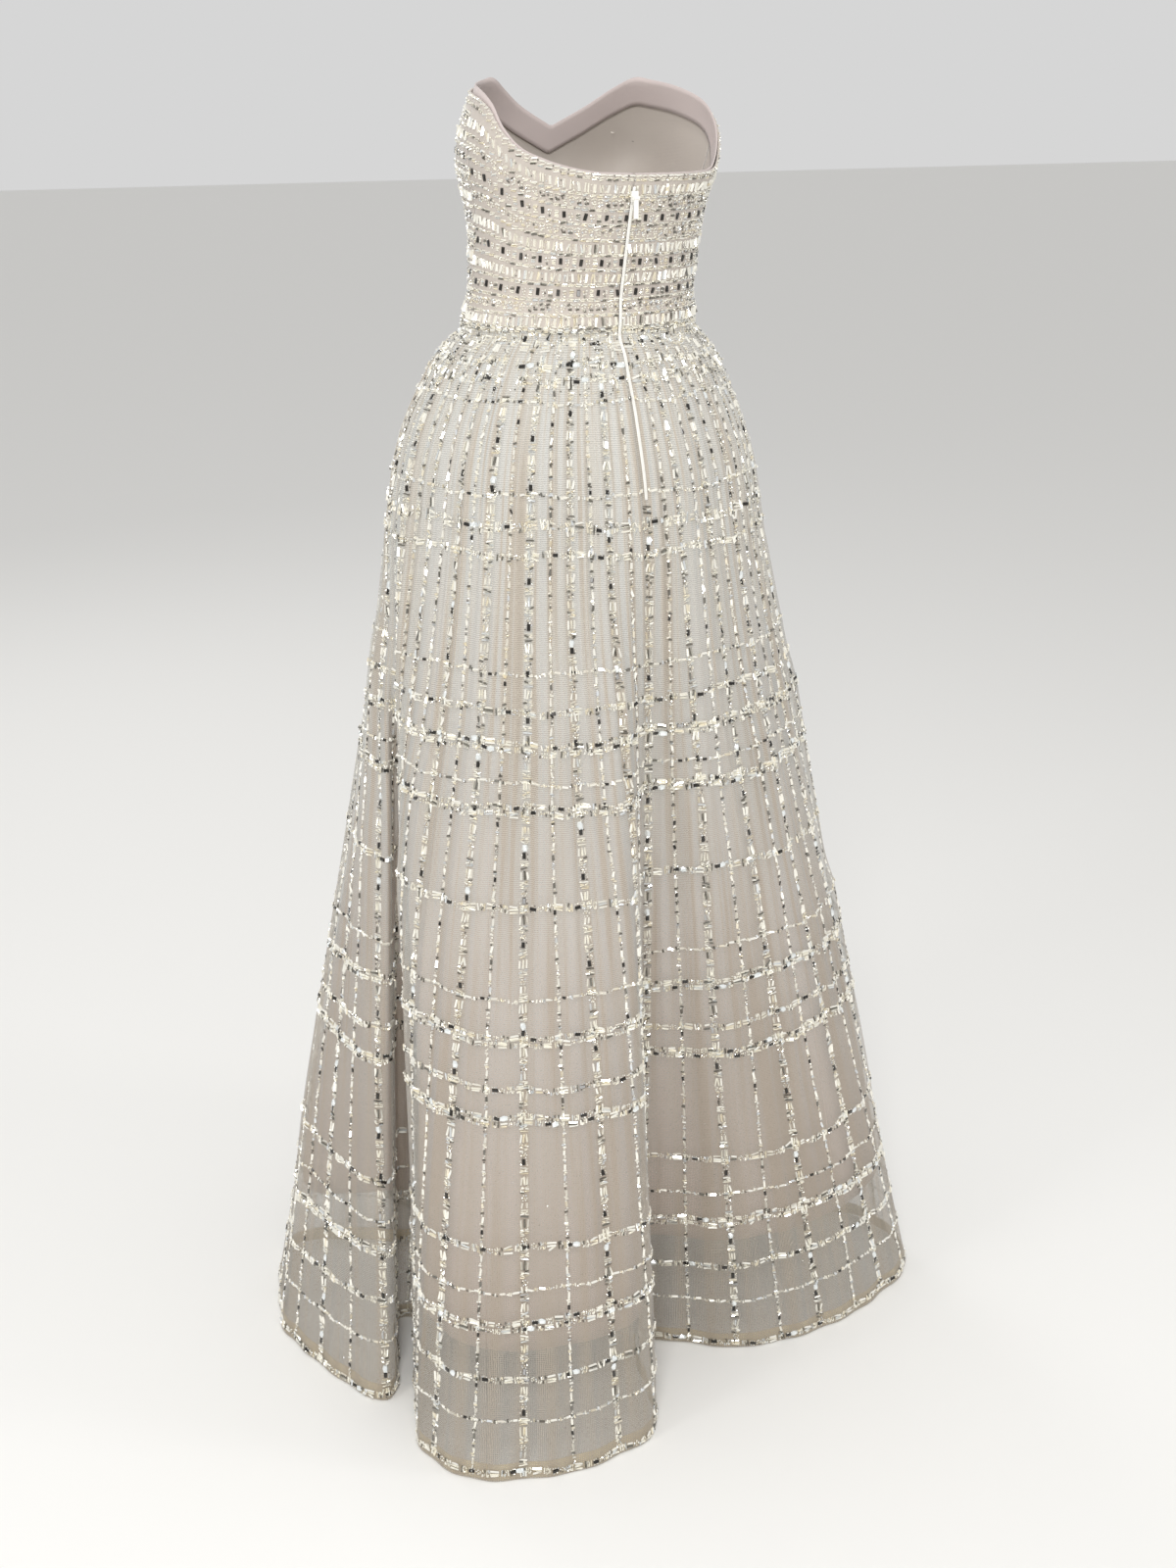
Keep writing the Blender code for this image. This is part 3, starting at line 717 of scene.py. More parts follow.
tulleRows = np.linspace(0, 1, clothSettings["tulleRows"]) ** clothSettings["tulleCrowding"]
tulleDrops = clothSettings["topGap"] + (skirtForm["length"] - clothSettings["endGaps"]) * tulleRows
hemDrops = np.linspace(skirtForm["length"] - clothSettings["hemDepth"],
                       skirtForm["length"] - clothSettings["hemLift"], clothSettings["hemRows"])
skirtPieces, skirtGrids, hemPieces = {}, {}, {}
for name, seams in skirtPanels.items():
    points, uv = panelGrid(tulleTable, seams, tulleDrops)
    piece = gridMesh("tulle_" + name, points, uv, finishes["tulle"])
    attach(piece, "dress")
    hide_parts(name)
    skirtPieces[name], skirtGrids[name] = piece, points
    hemPoints, hemUv = panelGrid(tulleTable, seams, hemDrops)
    along = unit(np.gradient(hemPoints, axis=1))
    inward = np.stack([along[..., 1], -along[..., 0], np.zeros(along.shape[:2])], axis=-1)
    hemPoints = hemPoints + inward * clothSettings["hemInside"]
    hem = gridMesh("hem_" + name, hemPoints, hemUv, finishes["hemTulle"],
                   clothSettings["hemThickness"])
    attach(hem, "dress")
    hemPieces[name] = hem

liningRows = np.linspace(0, 1, clothSettings["liningRows"]) ** clothSettings["liningCrowding"]
liningDrops = liningForm["top"] + (liningForm["length"] - liningForm["top"]) * liningRows
for name, seams in liningPanels.items():
    points, uv = panelGrid(liningTable, seams, liningDrops, liningHem)
    piece = gridMesh("satin_" + name, points, uv, finishes["lining"],
                     clothSettings["liningThickness"])
    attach(piece, "dress")
    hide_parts(name)
    declareCloth(piece, points)
    piece.data.materials.append(finishes["liningHem"])
    lowRow = np.searchsorted(liningDrops, liningForm["length"] - liningForm["hemDepth"])
    faceRow = np.repeat(np.arange(points.shape[0] - 1), points.shape[1] - 1)
    piece.data.polygons.foreach_set("material_index", (faceRow >= lowRow).astype(np.int32))
print("skirt and lining made")


# Bodice and the facing inside its neckline.

bodicePanels = {
    "bodice_back_left": (0, bodiceForm["sideAngle"], 46),
    "bodice_front": (bodiceForm["sideAngle"], 360 - bodiceForm["sideAngle"], 110),
    "bodice_back_right": (360 - bodiceForm["sideAngle"], 360, 46),
}
bodiceGrids, bodicePieces = {}, {}
for name, (start, end, columns) in bodicePanels.items():
    angle = np.linspace(start + bodiceForm["seamAngle"], end - bodiceForm["seamAngle"],
                        columns + 1)[None, :]
    part = np.linspace(1, 0, bodiceForm["rows"])[:, None]
    height = bodiceForm["seamGap"] + part * (neckHeight(angle) - bodiceForm["seamGap"])
    points = bodicePoints(angle, height)
    uv = np.stack([runAlong(points), height], axis=-1)
    piece = gridMesh("cloth_" + name, points, uv, finishes["bodice"], bodiceForm["thickness"])
    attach(piece, "dress")
    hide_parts(name)
    bodicePieces[name], bodiceGrids[name] = piece, points

facingAngles = np.linspace(*bodiceForm["facingAngles"])[None, :]
facingShow = np.interp(np.minimum(facingAngles, 360 - facingAngles), *bodiceForm["facingShow"])
facingPart = np.linspace(0, 1, bodiceForm["facingRows"])[:, None]
facingHeight = neckHeight(facingAngles) + facingShow - facingPart * bodiceForm["facingDepth"]
facingInward = bodiceForm["wall"] + bodiceForm["facingClearance"]
facingPoints = bodicePoints(facingAngles, facingHeight, facingInward)
facingUv = np.stack([runAlong(facingPoints), facingHeight], axis=-1)
facing = gridMesh("cloth_neck_facing", facingPoints, facingUv, finishes["facing"],
                  bodiceForm["facingThickness"])
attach(facing, "dress")
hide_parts("neck_facing")
declareCloth(facing, facingPoints)
print("bodice made")


# Beads. Every bead is a small unit shape, stretched along its own three axes.

beadShapes = {
    # a bugle bead as a long roof, a seed bead as a squat octahedron, a sequin as a bevelled
    # plate and a stone as a plate with a wide bevel; x along, y across, z off the cloth
    "bar": (
        [(-0.5, -0.5, 0), (-0.5, 0.5, 0), (-0.5, 0, 1), (0.5, -0.5, 0), (0.5, 0.5, 0), (0.5, 0, 1)],
        [(0, 2, 1), (3, 4, 5), (0, 1, 4), (0, 4, 3), (1, 2, 5), (1, 5, 4), (0, 3, 5), (0, 5, 2)],
    ),
    "seed": (
        [(-0.5, 0, 0.5), (0.5, 0, 0.5), (0, -0.5, 0.5), (0, 0.5, 0.5), (0, 0, 0), (0, 0, 1)],
        [(0, 2, 5), (2, 1, 5), (1, 3, 5), (3, 0, 5), (2, 0, 4), (1, 2, 4), (3, 1, 4), (0, 3, 4)],
    ),
    "plate": (
        [(-0.5, -0.5, 0), (0.5, -0.5, 0), (0.5, 0.5, 0), (-0.5, 0.5, 0),
         (-0.42, -0.38, 1), (0.42, -0.38, 1), (0.42, 0.38, 1), (-0.42, 0.38, 1)],
        [(0, 2, 1), (0, 3, 2), (4, 5, 6), (4, 6, 7), (0, 1, 5), (0, 5, 4), (1, 2, 6), (1, 6, 5),
         (2, 3, 7), (2, 7, 6), (3, 0, 4), (3, 4, 7)],
    ),
    "stone": (
        [(-0.5, -0.3, 0), (0, -0.5, 0), (0.5, -0.3, 0), (0.5, 0.3, 0), (0, 0.5, 0), (-0.5, 0.3, 0),
         (-0.25, -0.18, 1), (0.25, -0.18, 1), (0.25, 0.18, 1), (-0.25, 0.18, 1)],
        [(0, 2, 1), (0, 3, 2), (0, 4, 3), (0, 5, 4), (6, 7, 8), (6, 8, 9), (0, 1, 6), (1, 7, 6),
         (1, 2, 7), (2, 3, 8), (2, 8, 7), (3, 4, 8), (4, 9, 8), (4, 5, 9), (5, 0, 6), (5, 6, 9)],
    ),
}
shapeNames = list(beadShapes)
# The smoke tint, given to about a fifth of the beads at random, is partly smoky glass and partly
# painted shade between the beads and painted dark reflections.
beadTints = {
    "white": "#f8f5ea", "silver": "#dfe2e3", "champagne": "#efe6d0", "smoke_and_painted_dark": "#75726a",
    "black": "#1e1b15", "ice": "#eef2f1",
}
tintNames = list(beadTints)
tintValues = np.array([toLinear(value) for value in beadTints.values()])
usualTints = np.array([0.50, 0.16, 0.15, 0.19, 0.0, 0.0])     # shares, in the order of beadTints

thickMotif = (
    # along, across, turn, length, width, height (mm and degrees), shape, tint, and the part of
    # the draws in which it shows; one repeat is 42 mm
    (4.6, -2.9, 0, 8.6, 2.2, 1.7, "bar", "white", 0, 1),
    (4.6, 0.0, 0, 9.0, 2.2, 1.7, "bar", None, 0, 1),
    (4.6, 2.9, 0, 8.6, 2.2, 1.7, "bar", "white", 0, 1),
    (10.6, -2.3, 72, 3.8, 1.5, 1.4, "bar", None, 0, 1),
    (10.8, 2.2, 104, 3.9, 1.5, 1.4, "bar", "white", 0, 1),
    (12.6, -2.1, 106, 4.1, 1.5, 1.4, "bar", "white", 0, 1),
    (12.7, 2.4, 76, 3.8, 1.5, 1.4, "bar", None, 0, 1),
    (14.7, -2.4, 84, 4.0, 1.5, 1.4, "bar", None, 0, 1),
    (14.6, 2.1, 112, 4.0, 1.5, 1.4, "bar", "white", 0, 1),
    (16.6, -2.0, 64, 3.6, 1.5, 1.4, "bar", None, 0, 0.75),
    (16.7, 2.3, 96, 3.9, 1.5, 1.4, "bar", None, 0.2, 1),
    (21.4, 0.0, 0, 8.2, 6.4, 1.9, "stone", "ice", 0, 0.2),
    (21.4, 0.0, 0, 2.1, 1.9, 1.6, "seed", "champagne", 0.2, 1),
    (21.4, -2.5, 0, 2.3, 2.0, 1.6, "seed", "white", 0.2, 1),
    (21.4, 2.5, 0, 2.3, 2.0, 1.6, "seed", None, 0.2, 1),
    (19.2, -1.3, 30, 2.3, 2.0, 1.6, "seed", None, 0.2, 1),
    (19.2, 1.3, 60, 2.3, 2.0, 1.6, "seed", "white", 0.2, 1),
    (23.6, -1.3, 10, 2.3, 2.0, 1.6, "seed", "white", 0.2, 1),
    (23.6, 1.3, 70, 2.3, 2.0, 1.6, "seed", None, 0.2, 1),
    (28.2, 0.3, 0, 6.2, 3.4, 1.1, "plate", "black", 0, 0.55),
    (26.3, -2.9, 30, 2.0, 1.8, 1.5, "seed", None, 0, 0.55),
    (28.6, -3.1, 0, 2.0, 1.8, 1.5, "seed", "white", 0, 0.55),
    (30.8, -2.8, 50, 2.0, 1.8, 1.5, "seed", None, 0, 0.55),
    (27.2, 3.3, 20, 2.0, 1.8, 1.5, "seed", "white", 0, 0.55),
    (30.2, 3.3, 0, 2.0, 1.8, 1.5, "seed", None, 0, 0.55),
    (28.4, -2.0, 0, 6.4, 2.3, 1.6, "bar", "white", 0.55, 1),
    (28.4, 2.0, 0, 6.4, 2.3, 1.6, "bar", None, 0.55, 1),
    (33.5, 0.2, 92, 8.2, 1.6, 1.4, "bar", None, 0, 1),
    (35.5, -2.2, 70, 4.0, 1.5, 1.4, "bar", "white", 0, 1),
    (35.6, 2.2, 108, 4.0, 1.5, 1.4, "bar", None, 0, 1),
    (37.5, -2.3, 100, 3.9, 1.5, 1.4, "bar", None, 0, 1),
    (37.4, 2.3, 80, 4.0, 1.5, 1.4, "bar", "white", 0, 1),
    (39.5, -0.2, 88, 8.4, 1.6, 1.4, "bar", None, 0, 1),
)
thinMotif = (
    # as above; one repeat is 26 mm
    (3.5, 0.0, 0, 6.6, 2.8, 1.9, "bar", "white", 0, 1),
    (8.0, 0.5, 80, 3.6, 1.9, 1.5, "bar", None, 0, 1),
    (10.0, -0.4, 98, 3.4, 1.9, 1.5, "bar", None, 0, 1),
    (11.9, 0.5, 30, 2.5, 2.3, 1.7, "seed", "white", 0, 1),
    (15.4, 0.0, 0, 5.2, 2.7, 1.8, "bar", None, 0, 0.62),
    (15.4, 0.0, 0, 4.2, 2.6, 1.1, "plate", "black", 0.62, 0.86),
    (15.4, 0.2, 90, 3.6, 2.2, 1.6, "bar", "white", 0.86, 1),
    (18.9, -0.6, 0, 2.4, 2.2, 1.7, "seed", "white", 0, 1),
    (20.9, 0.5, 45, 2.4, 2.2, 1.7, "seed", None, 0, 1),
    (22.9, -0.2, 84, 3.5, 1.9, 1.5, "bar", None, 0, 1),
    (25.0, 0.3, 20, 2.4, 2.2, 1.7, "seed", None, 0, 1),
)
motifs = {"thick": (thickMotif, 42.0), "thin": (thinMotif, 26.0)}
unevenness = {
    # how far a bead strays from its chart, in mm and degrees, and its length's range
    "lineAlong": 0.4,
    "lineAcross": 0.5,
    "lineTurn": 5,
    "cellAcross": 0.35,
    "cellUp": 0.3,
    "cellTurn": 6,
    "length": (0.88, 1.08),
}


def strew(kind, lengths, squeeze=1.0):
    # Repeats a motif along several runs of the given lengths. Returns each bead's run, place
    # along and across it, turn, size, shape and tint.
    rows, repeat = motifs[kind]
    repeat = repeat * millimetre
    lengths = np.asarray(lengths, float)
    count = int(lengths.max() / repeat) + 2
    phase = rng.uniform(-repeat, 0, len(lengths))[:, None]
    draw = rng.uniform(0, 1, (len(lengths), count))
    found = []
    for along, across, turn, long, wide, high, shape, tint, low, upTo in rows:
        size = (len(lengths), count)
        at = phase + repeat * np.arange(count)[None, :] + along * millimetre
        at = at + rng.uniform(-unevenness["lineAlong"], unevenness["lineAlong"], size) * millimetre
        slip = rng.uniform(-unevenness["lineAcross"], unevenness["lineAcross"], size)
        side = (across * squeeze + slip) * millimetre
        stretch = rng.uniform(*unevenness["length"], size)
        longer = long * (squeeze if abs(turn - 90) < 40 else 1.0)
        keep = (draw >= low) & (draw < upTo) & (at > 0) & (at < lengths[:, None])
        tints = (rng.choice(len(tintNames), size, p=usualTints) if tint is None
                 else np.full(size, tintNames.index(tint)))
        run = np.broadcast_to(np.arange(len(lengths))[:, None], size)
        block = [run, at, side, np.radians(turn + rng.normal(0, unevenness["lineTurn"], size)),
                 longer * millimetre * stretch, np.full(size, wide * millimetre),
                 np.full(size, high * millimetre), np.full(size, shapeNames.index(shape)), tints]
        found.append(np.stack([part[keep] for part in block]))
    return np.concatenate(found, axis=1)


def beadMesh(name, centre, along, out, sizes, shapes, tints, tilt=0.2):
    # Stretches and turns each bead's unit shape into place, all beads of a shape at once.
    out = unit(out + rng.normal(0, tilt, out.shape))
    along = unit(along - out * (along * out).sum(axis=-1, keepdims=True))
    across = np.cross(out, along)
    vertices, faces, colours = [], [], []
    first = 0
    for index, shape in enumerate(shapeNames):
        chosen = shapes == index
        if not chosen.any():
            continue
        corners, triangles = [np.array(part) for part in beadShapes[shape]]
        long, wide, high = [sizes[chosen, k][:, None, None] for k in range(3)]
        block = (centre[chosen][:, None, :]
                 + along[chosen][:, None, :] * corners[None, :, :1] * long
                 + across[chosen][:, None, :] * corners[None, :, 1:2] * wide
                 + out[chosen][:, None, :] * corners[None, :, 2:] * high)
        number = len(block)
        vertices.append(block.reshape(-1, 3))
        offset = first + np.arange(number)[:, None, None] * len(corners)
        faces.append((triangles[None] + offset).reshape(-1, 3))
        colours.append(np.repeat(tintValues[tints[chosen]], len(corners), axis=0))
        first += number * len(corners)
    vertices, faces = np.concatenate(vertices), np.concatenate(faces)
    mesh = bpy.data.meshes.new(name)
    mesh.from_pydata(vertices.tolist(), [], faces.tolist())
    tint = mesh.attributes.new("beadTint", "FLOAT_COLOR", "POINT")
    tint.data.foreach_set("color", np.concatenate(colours).astype(np.float32).ravel())
    mesh.materials.append(finishes["beads"])
    piece = addObject(name, mesh)
    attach(piece, "dress")
    return piece


def skirtFrame(share, drop):
    # Point, direction down, direction round and outward normal of the tulle at any place.
    step = 0.0015
    point = samplePoints(tulleTable, share, drop)
    length = np.interp(drop, tulleTable["drops"], tulleTable["length"])
    side = step / length
    down = unit(samplePoints(tulleTable, share, np.minimum(drop + step, skirtForm["length"]))
                - samplePoints(tulleTable, share, np.maximum(drop - step, 0)))
    around = unit(samplePoints(tulleTable, share + side, drop)
                  - samplePoints(tulleTable, share - side, drop))
    return point, down, around, unit(np.cross(around, down))


skirtRows = (
    # drop, kind, how far across the row is squeezed, and the offsets of its lines in mm
    (0.0016, "thin", 1.0, (0,)),
    (0.0100, "thick", 0.9, (0,)),
    (0.027, "thick", 0.8, (0,)),
    (0.040, "thick", 1.0, (0,)),
    (0.0585, "thin", 1.0, (0,)),
    (0.138, "thin", 1.0, (0,)),
    (0.166, "thick", 1.15, (0,)),
    (0.192, "thick", 0.8, (0,)),
    (0.298, "thin", 1.0, (0,)),
    (0.333, "thick", 0.8, (0,)),
    (0.366, "thick", 0.66, (-3.2, 3.2)),
    (0.400, "thin", 1.0, (0,)),
    (0.425, "thick", 0.66, (-3.1, 3.1)),
    (0.516, "thick", 0.92, (0,)),
    (0.602, "thin", 1.0, (0,)),
    (0.641, "thick", 0.66, (-3.2, 3.2)),
    (0.689, "thick", 0.86, (0,)),
    (0.720, "thick", 0.66, (-3.0, 3.0)),
    (0.846, "thick", 0.9, (0,)),
    (0.8885, "thin", 1.0, (0,)),
    (0.922, "thick", 0.66, (-3.2, 3.2)),
    (0.976, "thick", 0.86, (0,)),
    (1.019, "thin", 1.0, (0,)),
    (1.0730, "thick", 0.8, (0,)),
)
rowWander = ((0.0018, 9), (0.0010, 31))     # how far a row strays, and its waves round the skirt
beadLift = 0.0001
beadsAtZip = {"end": 0.144, "half": 0.0016, "top": 0.130}     # the zip that they keep clear of
bareSeam = {"seam": "leftGore", "from": 0.012, "to": 0.052, "half": 0.0042}


beadLines = {
    "start": 0.004,
    "spare": 0.010,                     # what a line is shorter than the skirt
    "waistWidth": (0.62, 0.38, 0.16),   # its share at the waist, what it gains, and by which drop
    "draws": 200,
    "waves": (9, 16),
    "stray": (0.0004, 0.0016),
}


def lineWander(run, drop, seed):
    # How far a bead line strays from its share, a slow wave of its own for each line.
    draw = np.random.default_rng(seed)
    count = beadLines["draws"]
    turn, pace = draw.uniform(0, 6.28, count), draw.uniform(*beadLines["waves"], count)
    size = draw.uniform(*beadLines["stray"], count)
    index = run.astype(int)
    return size[index] * np.sin(turn[index] + pace[index] * drop)


def clearOfZip(distance, turn, long, wide):
    # The distance from the zip's line, made large enough that a bead, turned from the zip's
    # own direction, doesn't reach over the tape.
    reach = (np.abs(np.sin(turn)) * long + np.abs(np.cos(turn)) * wide) / 2
    return np.sign(distance) * np.maximum(np.abs(distance), beadsAtZip["half"] + reach)


collected = []


def collect(share, drop, turn, run):
    # Keeps beads that lie on the skirt, with their direction as a turn from straight down.
    # The top of one seam stays bare, as the photo shows it.
    length = np.interp(drop, tulleTable["drops"], tulleTable["length"])
    away = np.abs(share - cornerShare(tulleTable, bareSeam["seam"], drop)) * length
    fromZip = ((share + 0.5) % 1.0 - 0.5) * length
    moved = clearOfZip(fromZip, turn, run[4], run[5]) / length % 1.0
    share = np.where(drop < beadsAtZip["end"], moved, share)
    keep = ~((away < bareSeam["half"]) & (drop > bareSeam["from"]) & (drop < bareSeam["to"]))
    share, drop, turn, run = share[keep], drop[keep], turn[keep], run[:, keep]
    point, down, around, out = skirtFrame(share, drop)
    along = unit(down * np.cos(turn)[:, None] + around * np.sin(turn)[:, None])
    collected.append((share, drop, point + out * beadLift, along, out, run))


narrow, gain, fullDrop = beadLines["waistWidth"]
for kind, firstLine in (("thick", 0), ("thin", 1)):
    lines = np.arange(firstLine, gathers["lines"], 2)
    beads = strew(kind, np.full(len(lines), skirtForm["length"] - beadLines["spare"]))
    run, at, side = beads[0], beads[1], beads[2]
    drop = at + beadLines["start"]
    line = lines[run.astype(int)]
    side = side * (narrow + gain * smoothStep(0.0, fullDrop, drop))
    length = np.interp(drop, tulleTable["drops"], tulleTable["length"])
    share = (line / gathers["lines"] + (side + lineWander(run, drop, firstLine + 5)) / length) % 1.0
    keep = (line != 0) | (drop >= beadsAtZip["end"] + beadLines["start"])
    collect(share[keep], drop[keep], beads[3][keep], beads[:, keep])

for number, (rowDrop, kind, squeeze, offsets) in enumerate(skirtRows):
    around = float(np.interp(rowDrop, tulleTable["drops"], tulleTable["length"]))
    beads = strew(kind, np.full(len(offsets), around), squeeze)
    beads[2] += np.array(offsets)[beads[0].astype(int)] * millimetre
    share = (beads[1] / around) % 1.0
    wander = sum(size * np.sin(share * 6.28 * waves + number) for size, waves in rowWander)
    drop = np.clip(rowDrop + beads[2] + wander, 0.001, skirtForm["length"] - 0.001)
    collect(share, drop, beads[3] + math.pi / 2, beads)

scatter = (
    # single beads: how many, first and last drop, size against the yoke's
    (1500, 0.002, 0.052, 1.0),
    (520, 0.74, 1.07, 0.62),
)
for size, low, high, scale in scatter:
    share, drop = rng.uniform(0, 1, size), rng.uniform(low, high, size)
    beads = np.zeros((9, size))
    beads[4:7] = np.array([1.9, 1.7, 1.4])[:, None] * millimetre * scale
    beads[7] = shapeNames.index("seed")
    beads[8] = rng.choice(len(tintNames), size, p=usualTints)
    collect(share, drop, rng.uniform(0, 3, size), beads)

share, drop, centre, along, out, facts = [
    np.concatenate([block[k] for block in collected], axis=1 if k == 5 else 0) for k in range(6)]
beadPieces = {name: [] for name in skirtPanels}
upperLimit = 0.46
for name, (first, last, _) in skirtPanels.items():
    start = cornerShare(tulleTable, first, drop)
    end = cornerShare(tulleTable, last, drop, last=True)
    onPanel = (share >= start) & (share < end)
    for part, inPart in (("upper", drop < upperLimit), ("lower", drop >= upperLimit)):
        chosen = onPanel & inPart
        piece = beadMesh(f"beads_{part}_{name}", centre[chosen], along[chosen], out[chosen],
                         facts[4:7, chosen].T, facts[7, chosen].astype(int),
                         facts[8, chosen].astype(int))
        beadPieces[name].append(piece)
    declareCloth(skirtPieces[name], skirtGrids[name])
print("skirt beads:", len(share))


# Bodice beadwork: columns at even steps round the dress, rows that climb with the neckline.

beadwork = {
    "columns": 108,
    "columnHeight": 0.10,   # the height at which the columns are spaced evenly
    "climb": 1.6,           # how late the rows start to follow the neckline
    "neckGap": 0.0012,
}
backRows = (
    # height at the centre back in mm, kind
    (137.7, "edge"), (134.0, "thread"), (125.6, "upright"), (119.4, "thread"), (113.4, "mixed"),
    (107.2, "thread"), (100.2, "dark"), (94.0, "thread"), (87.4, "mixed"), (80.8, "thread"),
    (73.4, "upright"), (67.6, "thread"), (61.2, "dark"), (54.8, "thread"), (47.6, "upright"),
    (41.4, "thread"), (34.4, "dark"), (28.2, "thread"), (21.6, "mixed"), (14.8, "thread"),
    (9.0, "upright"), (3.8, "thread"), (0.9, "thread"),
)
frontRows = (
    (137.7, "edge"), (134.2, "thread"), (128.4, "mixed"), (123.4, "thread"), (118.0, "upright"),
    (112.6, "thread"), (107.0, "dark"), (101.6, "thread"), (96.4, "mixed"), (91.2, "thread"),
    (85.4, "upright"), (79.8, "thread"), (74.0, "dark"), (68.2, "thread"), (62.4, "mixed"),
    (56.6, "thread"), (50.6, "upright"), (44.8, "thread"), (38.4, "dark"), (32.2, "thread"),
    (26.0, "mixed"), (19.8, "thread"), (13.6, "upright"), (8.2, "thread"), (4.4, "thread"),
    (0.9, "thread"),
)
ring = np.linspace(0, 360, 1441)
ringPoints = bodicePoints(ring, beadwork["columnHeight"])
ringRun = np.concatenate([[0], np.cumsum(np.linalg.norm(np.diff(ringPoints, axis=0), axis=1))])
bodiceRound = float(ringRun[-1])


def rowHeight(base, angle):
    # A row keeps level near the waist and follows the neckline more the higher it lies.
    centre = neckHeight(0.0)
    return base + (neckHeight(angle) - centre) * (base / centre) ** beadwork["climb"]


def bodiceFrame(angle, height):
    # Point, direction up, direction round and outward normal of the bodice at any place.
    point = bodicePoints(angle, height)
    up = unit(bodicePoints(angle, height + 0.001) - bodicePoints(angle, height - 0.001))
    around = unit(bodicePoints(angle + 0.6, height) - bodicePoints(angle - 0.6, height))
    return point, up, around, unit(np.cross(up, around))


cellBeads = {
    # kind: across, up, turn from upright, length, width, height (mm), shape, tint, and the
    # columns it is in, as every so many from a first one
    "edge": (
        (0.0, 0.0, 90, 5.4, 1.8, 1.5, "bar", "white", 1, 0),
        (3.1, 0.2, 40, 2.0, 1.8, 1.5, "seed", None, 1, 0),
    ),
    "thread": (
        (0.0, 0.9, 90, 5.4, 1.6, 1.4, "bar", "white", 1, 0),
        (1.0, -0.9, 90, 5.2, 1.6, 1.4, "bar", None, 1, 0),
        (3.2, 0.0, 0, 1.9, 1.7, 1.5, "seed", None, 1, 0),
    ),
    "upright": (
        (-1.1, 0.0, 0, 8.2, 2.0, 1.7, "bar", "white", 2, 0),
        (1.1, 0.0, 0, 8.2, 2.0, 1.7, "bar", None, 2, 0),
        (0.0, 0.0, 0, 7.8, 3.2, 1.8, "bar", "white", 2, 1),
        (2.9, 2.4, 0, 1.8, 1.6, 1.4, "seed", None, 2, 1),
        (2.9, -2.4, 0, 1.8, 1.6, 1.4, "seed", None, 2, 1),
    ),
    "dark": (
        (0.0, 0.0, 0, 6.4, 3.3, 1.1, "plate", "black", 3, 0),
        (0.0, 2.7, 86, 4.0, 1.7, 1.4, "bar", "white", 3, 1),
        (0.0, 0.8, 94, 4.0, 1.7, 1.4, "bar", None, 3, 1),
        (0.0, -1.0, 90, 3.8, 1.7, 1.4, "bar", "white", 3, 1),
        (0.0, -2.8, 84, 4.0, 1.7, 1.4, "bar", None, 3, 1),
        (-1.2, 2.0, 20, 2.4, 2.1, 1.6, "seed", "white", 3, 2),
        (1.2, 1.6, 60, 2.4, 2.1, 1.6, "seed", None, 3, 2),
        (-1.1, -0.4, 0, 2.4, 2.1, 1.6, "seed", None, 3, 2),
        (1.2, -0.9, 0, 2.4, 2.1, 1.6, "seed", "white", 3, 2),
        (0.0, -2.8, 0, 2.4, 2.1, 1.6, "seed", None, 3, 2),
    ),
    "mixed": (
        (-1.4, 3.0, 62, 3.4, 1.7, 1.4, "bar", "white", 1, 0),
        (1.4, 2.4, 118, 3.2, 1.7, 1.4, "bar", None, 1, 0),
        (-1.3, 0.6, 30, 2.4, 2.1, 1.6, "seed", "white", 1, 0),
        (1.4, 0.0, 0, 2.4, 2.1, 1.6, "seed", None, 1, 0),
        (-0.6, -1.8, 96, 3.8, 1.7, 1.4, "bar", None, 1, 0),
        (1.2, -3.2, 20, 2.4, 2.0, 1.5, "seed", "white", 2, 0),
        (-1.3, -3.4, 70, 3.2, 1.6, 1.4, "bar", None, 2, 1),
    ),
}


def rowBeads(base, kind, side):
    # One row of cells, on the back or the front: every bead of the cell in its own columns.
    columns = np.arange(beadwork["columns"])
    found = []
    for across, up, turn, long, wide, high, shape, tint, every, first in cellBeads[kind]:
        chosen = columns[columns % every == first]
        size = len(chosen)
        turned = np.radians(turn + rng.normal(0, unevenness["cellTurn"], size))
        stretch = rng.uniform(*unevenness["length"], size) * long * millimetre
        run = (chosen + 0.5) / beadwork["columns"] * bodiceRound
        slip = rng.uniform(-unevenness["cellAcross"], unevenness["cellAcross"], size)
        run = run + (across + slip) * millimetre
        if base * millimetre < beadsAtZip["top"]:
            fromZip = (run + bodiceRound / 2) % bodiceRound - bodiceRound / 2
            run = clearOfZip(fromZip, turned, stretch, wide * millimetre)
        angle = np.interp(run % bodiceRound, ringRun, ring)
        height = rowHeight(base * millimetre, angle)
        slip = rng.uniform(-unevenness["cellUp"], unevenness["cellUp"], size)
        height = height + (up + slip) * millimetre
        height = np.minimum(height, neckHeight(angle) - beadwork["neckGap"])
        onFront = (angle > bodiceForm["sideAngle"]) & (angle < 360 - bodiceForm["sideAngle"])
        keep = onFront if side == "front" else ~onFront
        tints = (rng.choice(len(tintNames), size, p=usualTints) if tint is None
                 else np.full(size, tintNames.index(tint)))
        block = [angle, height, turned, stretch, np.full(size, wide * millimetre),
                 np.full(size, high * millimetre), np.full(size, shapeNames.index(shape)), tints]
        found.append(np.stack([part[keep] for part in block]))
    return np.concatenate(found, axis=1)


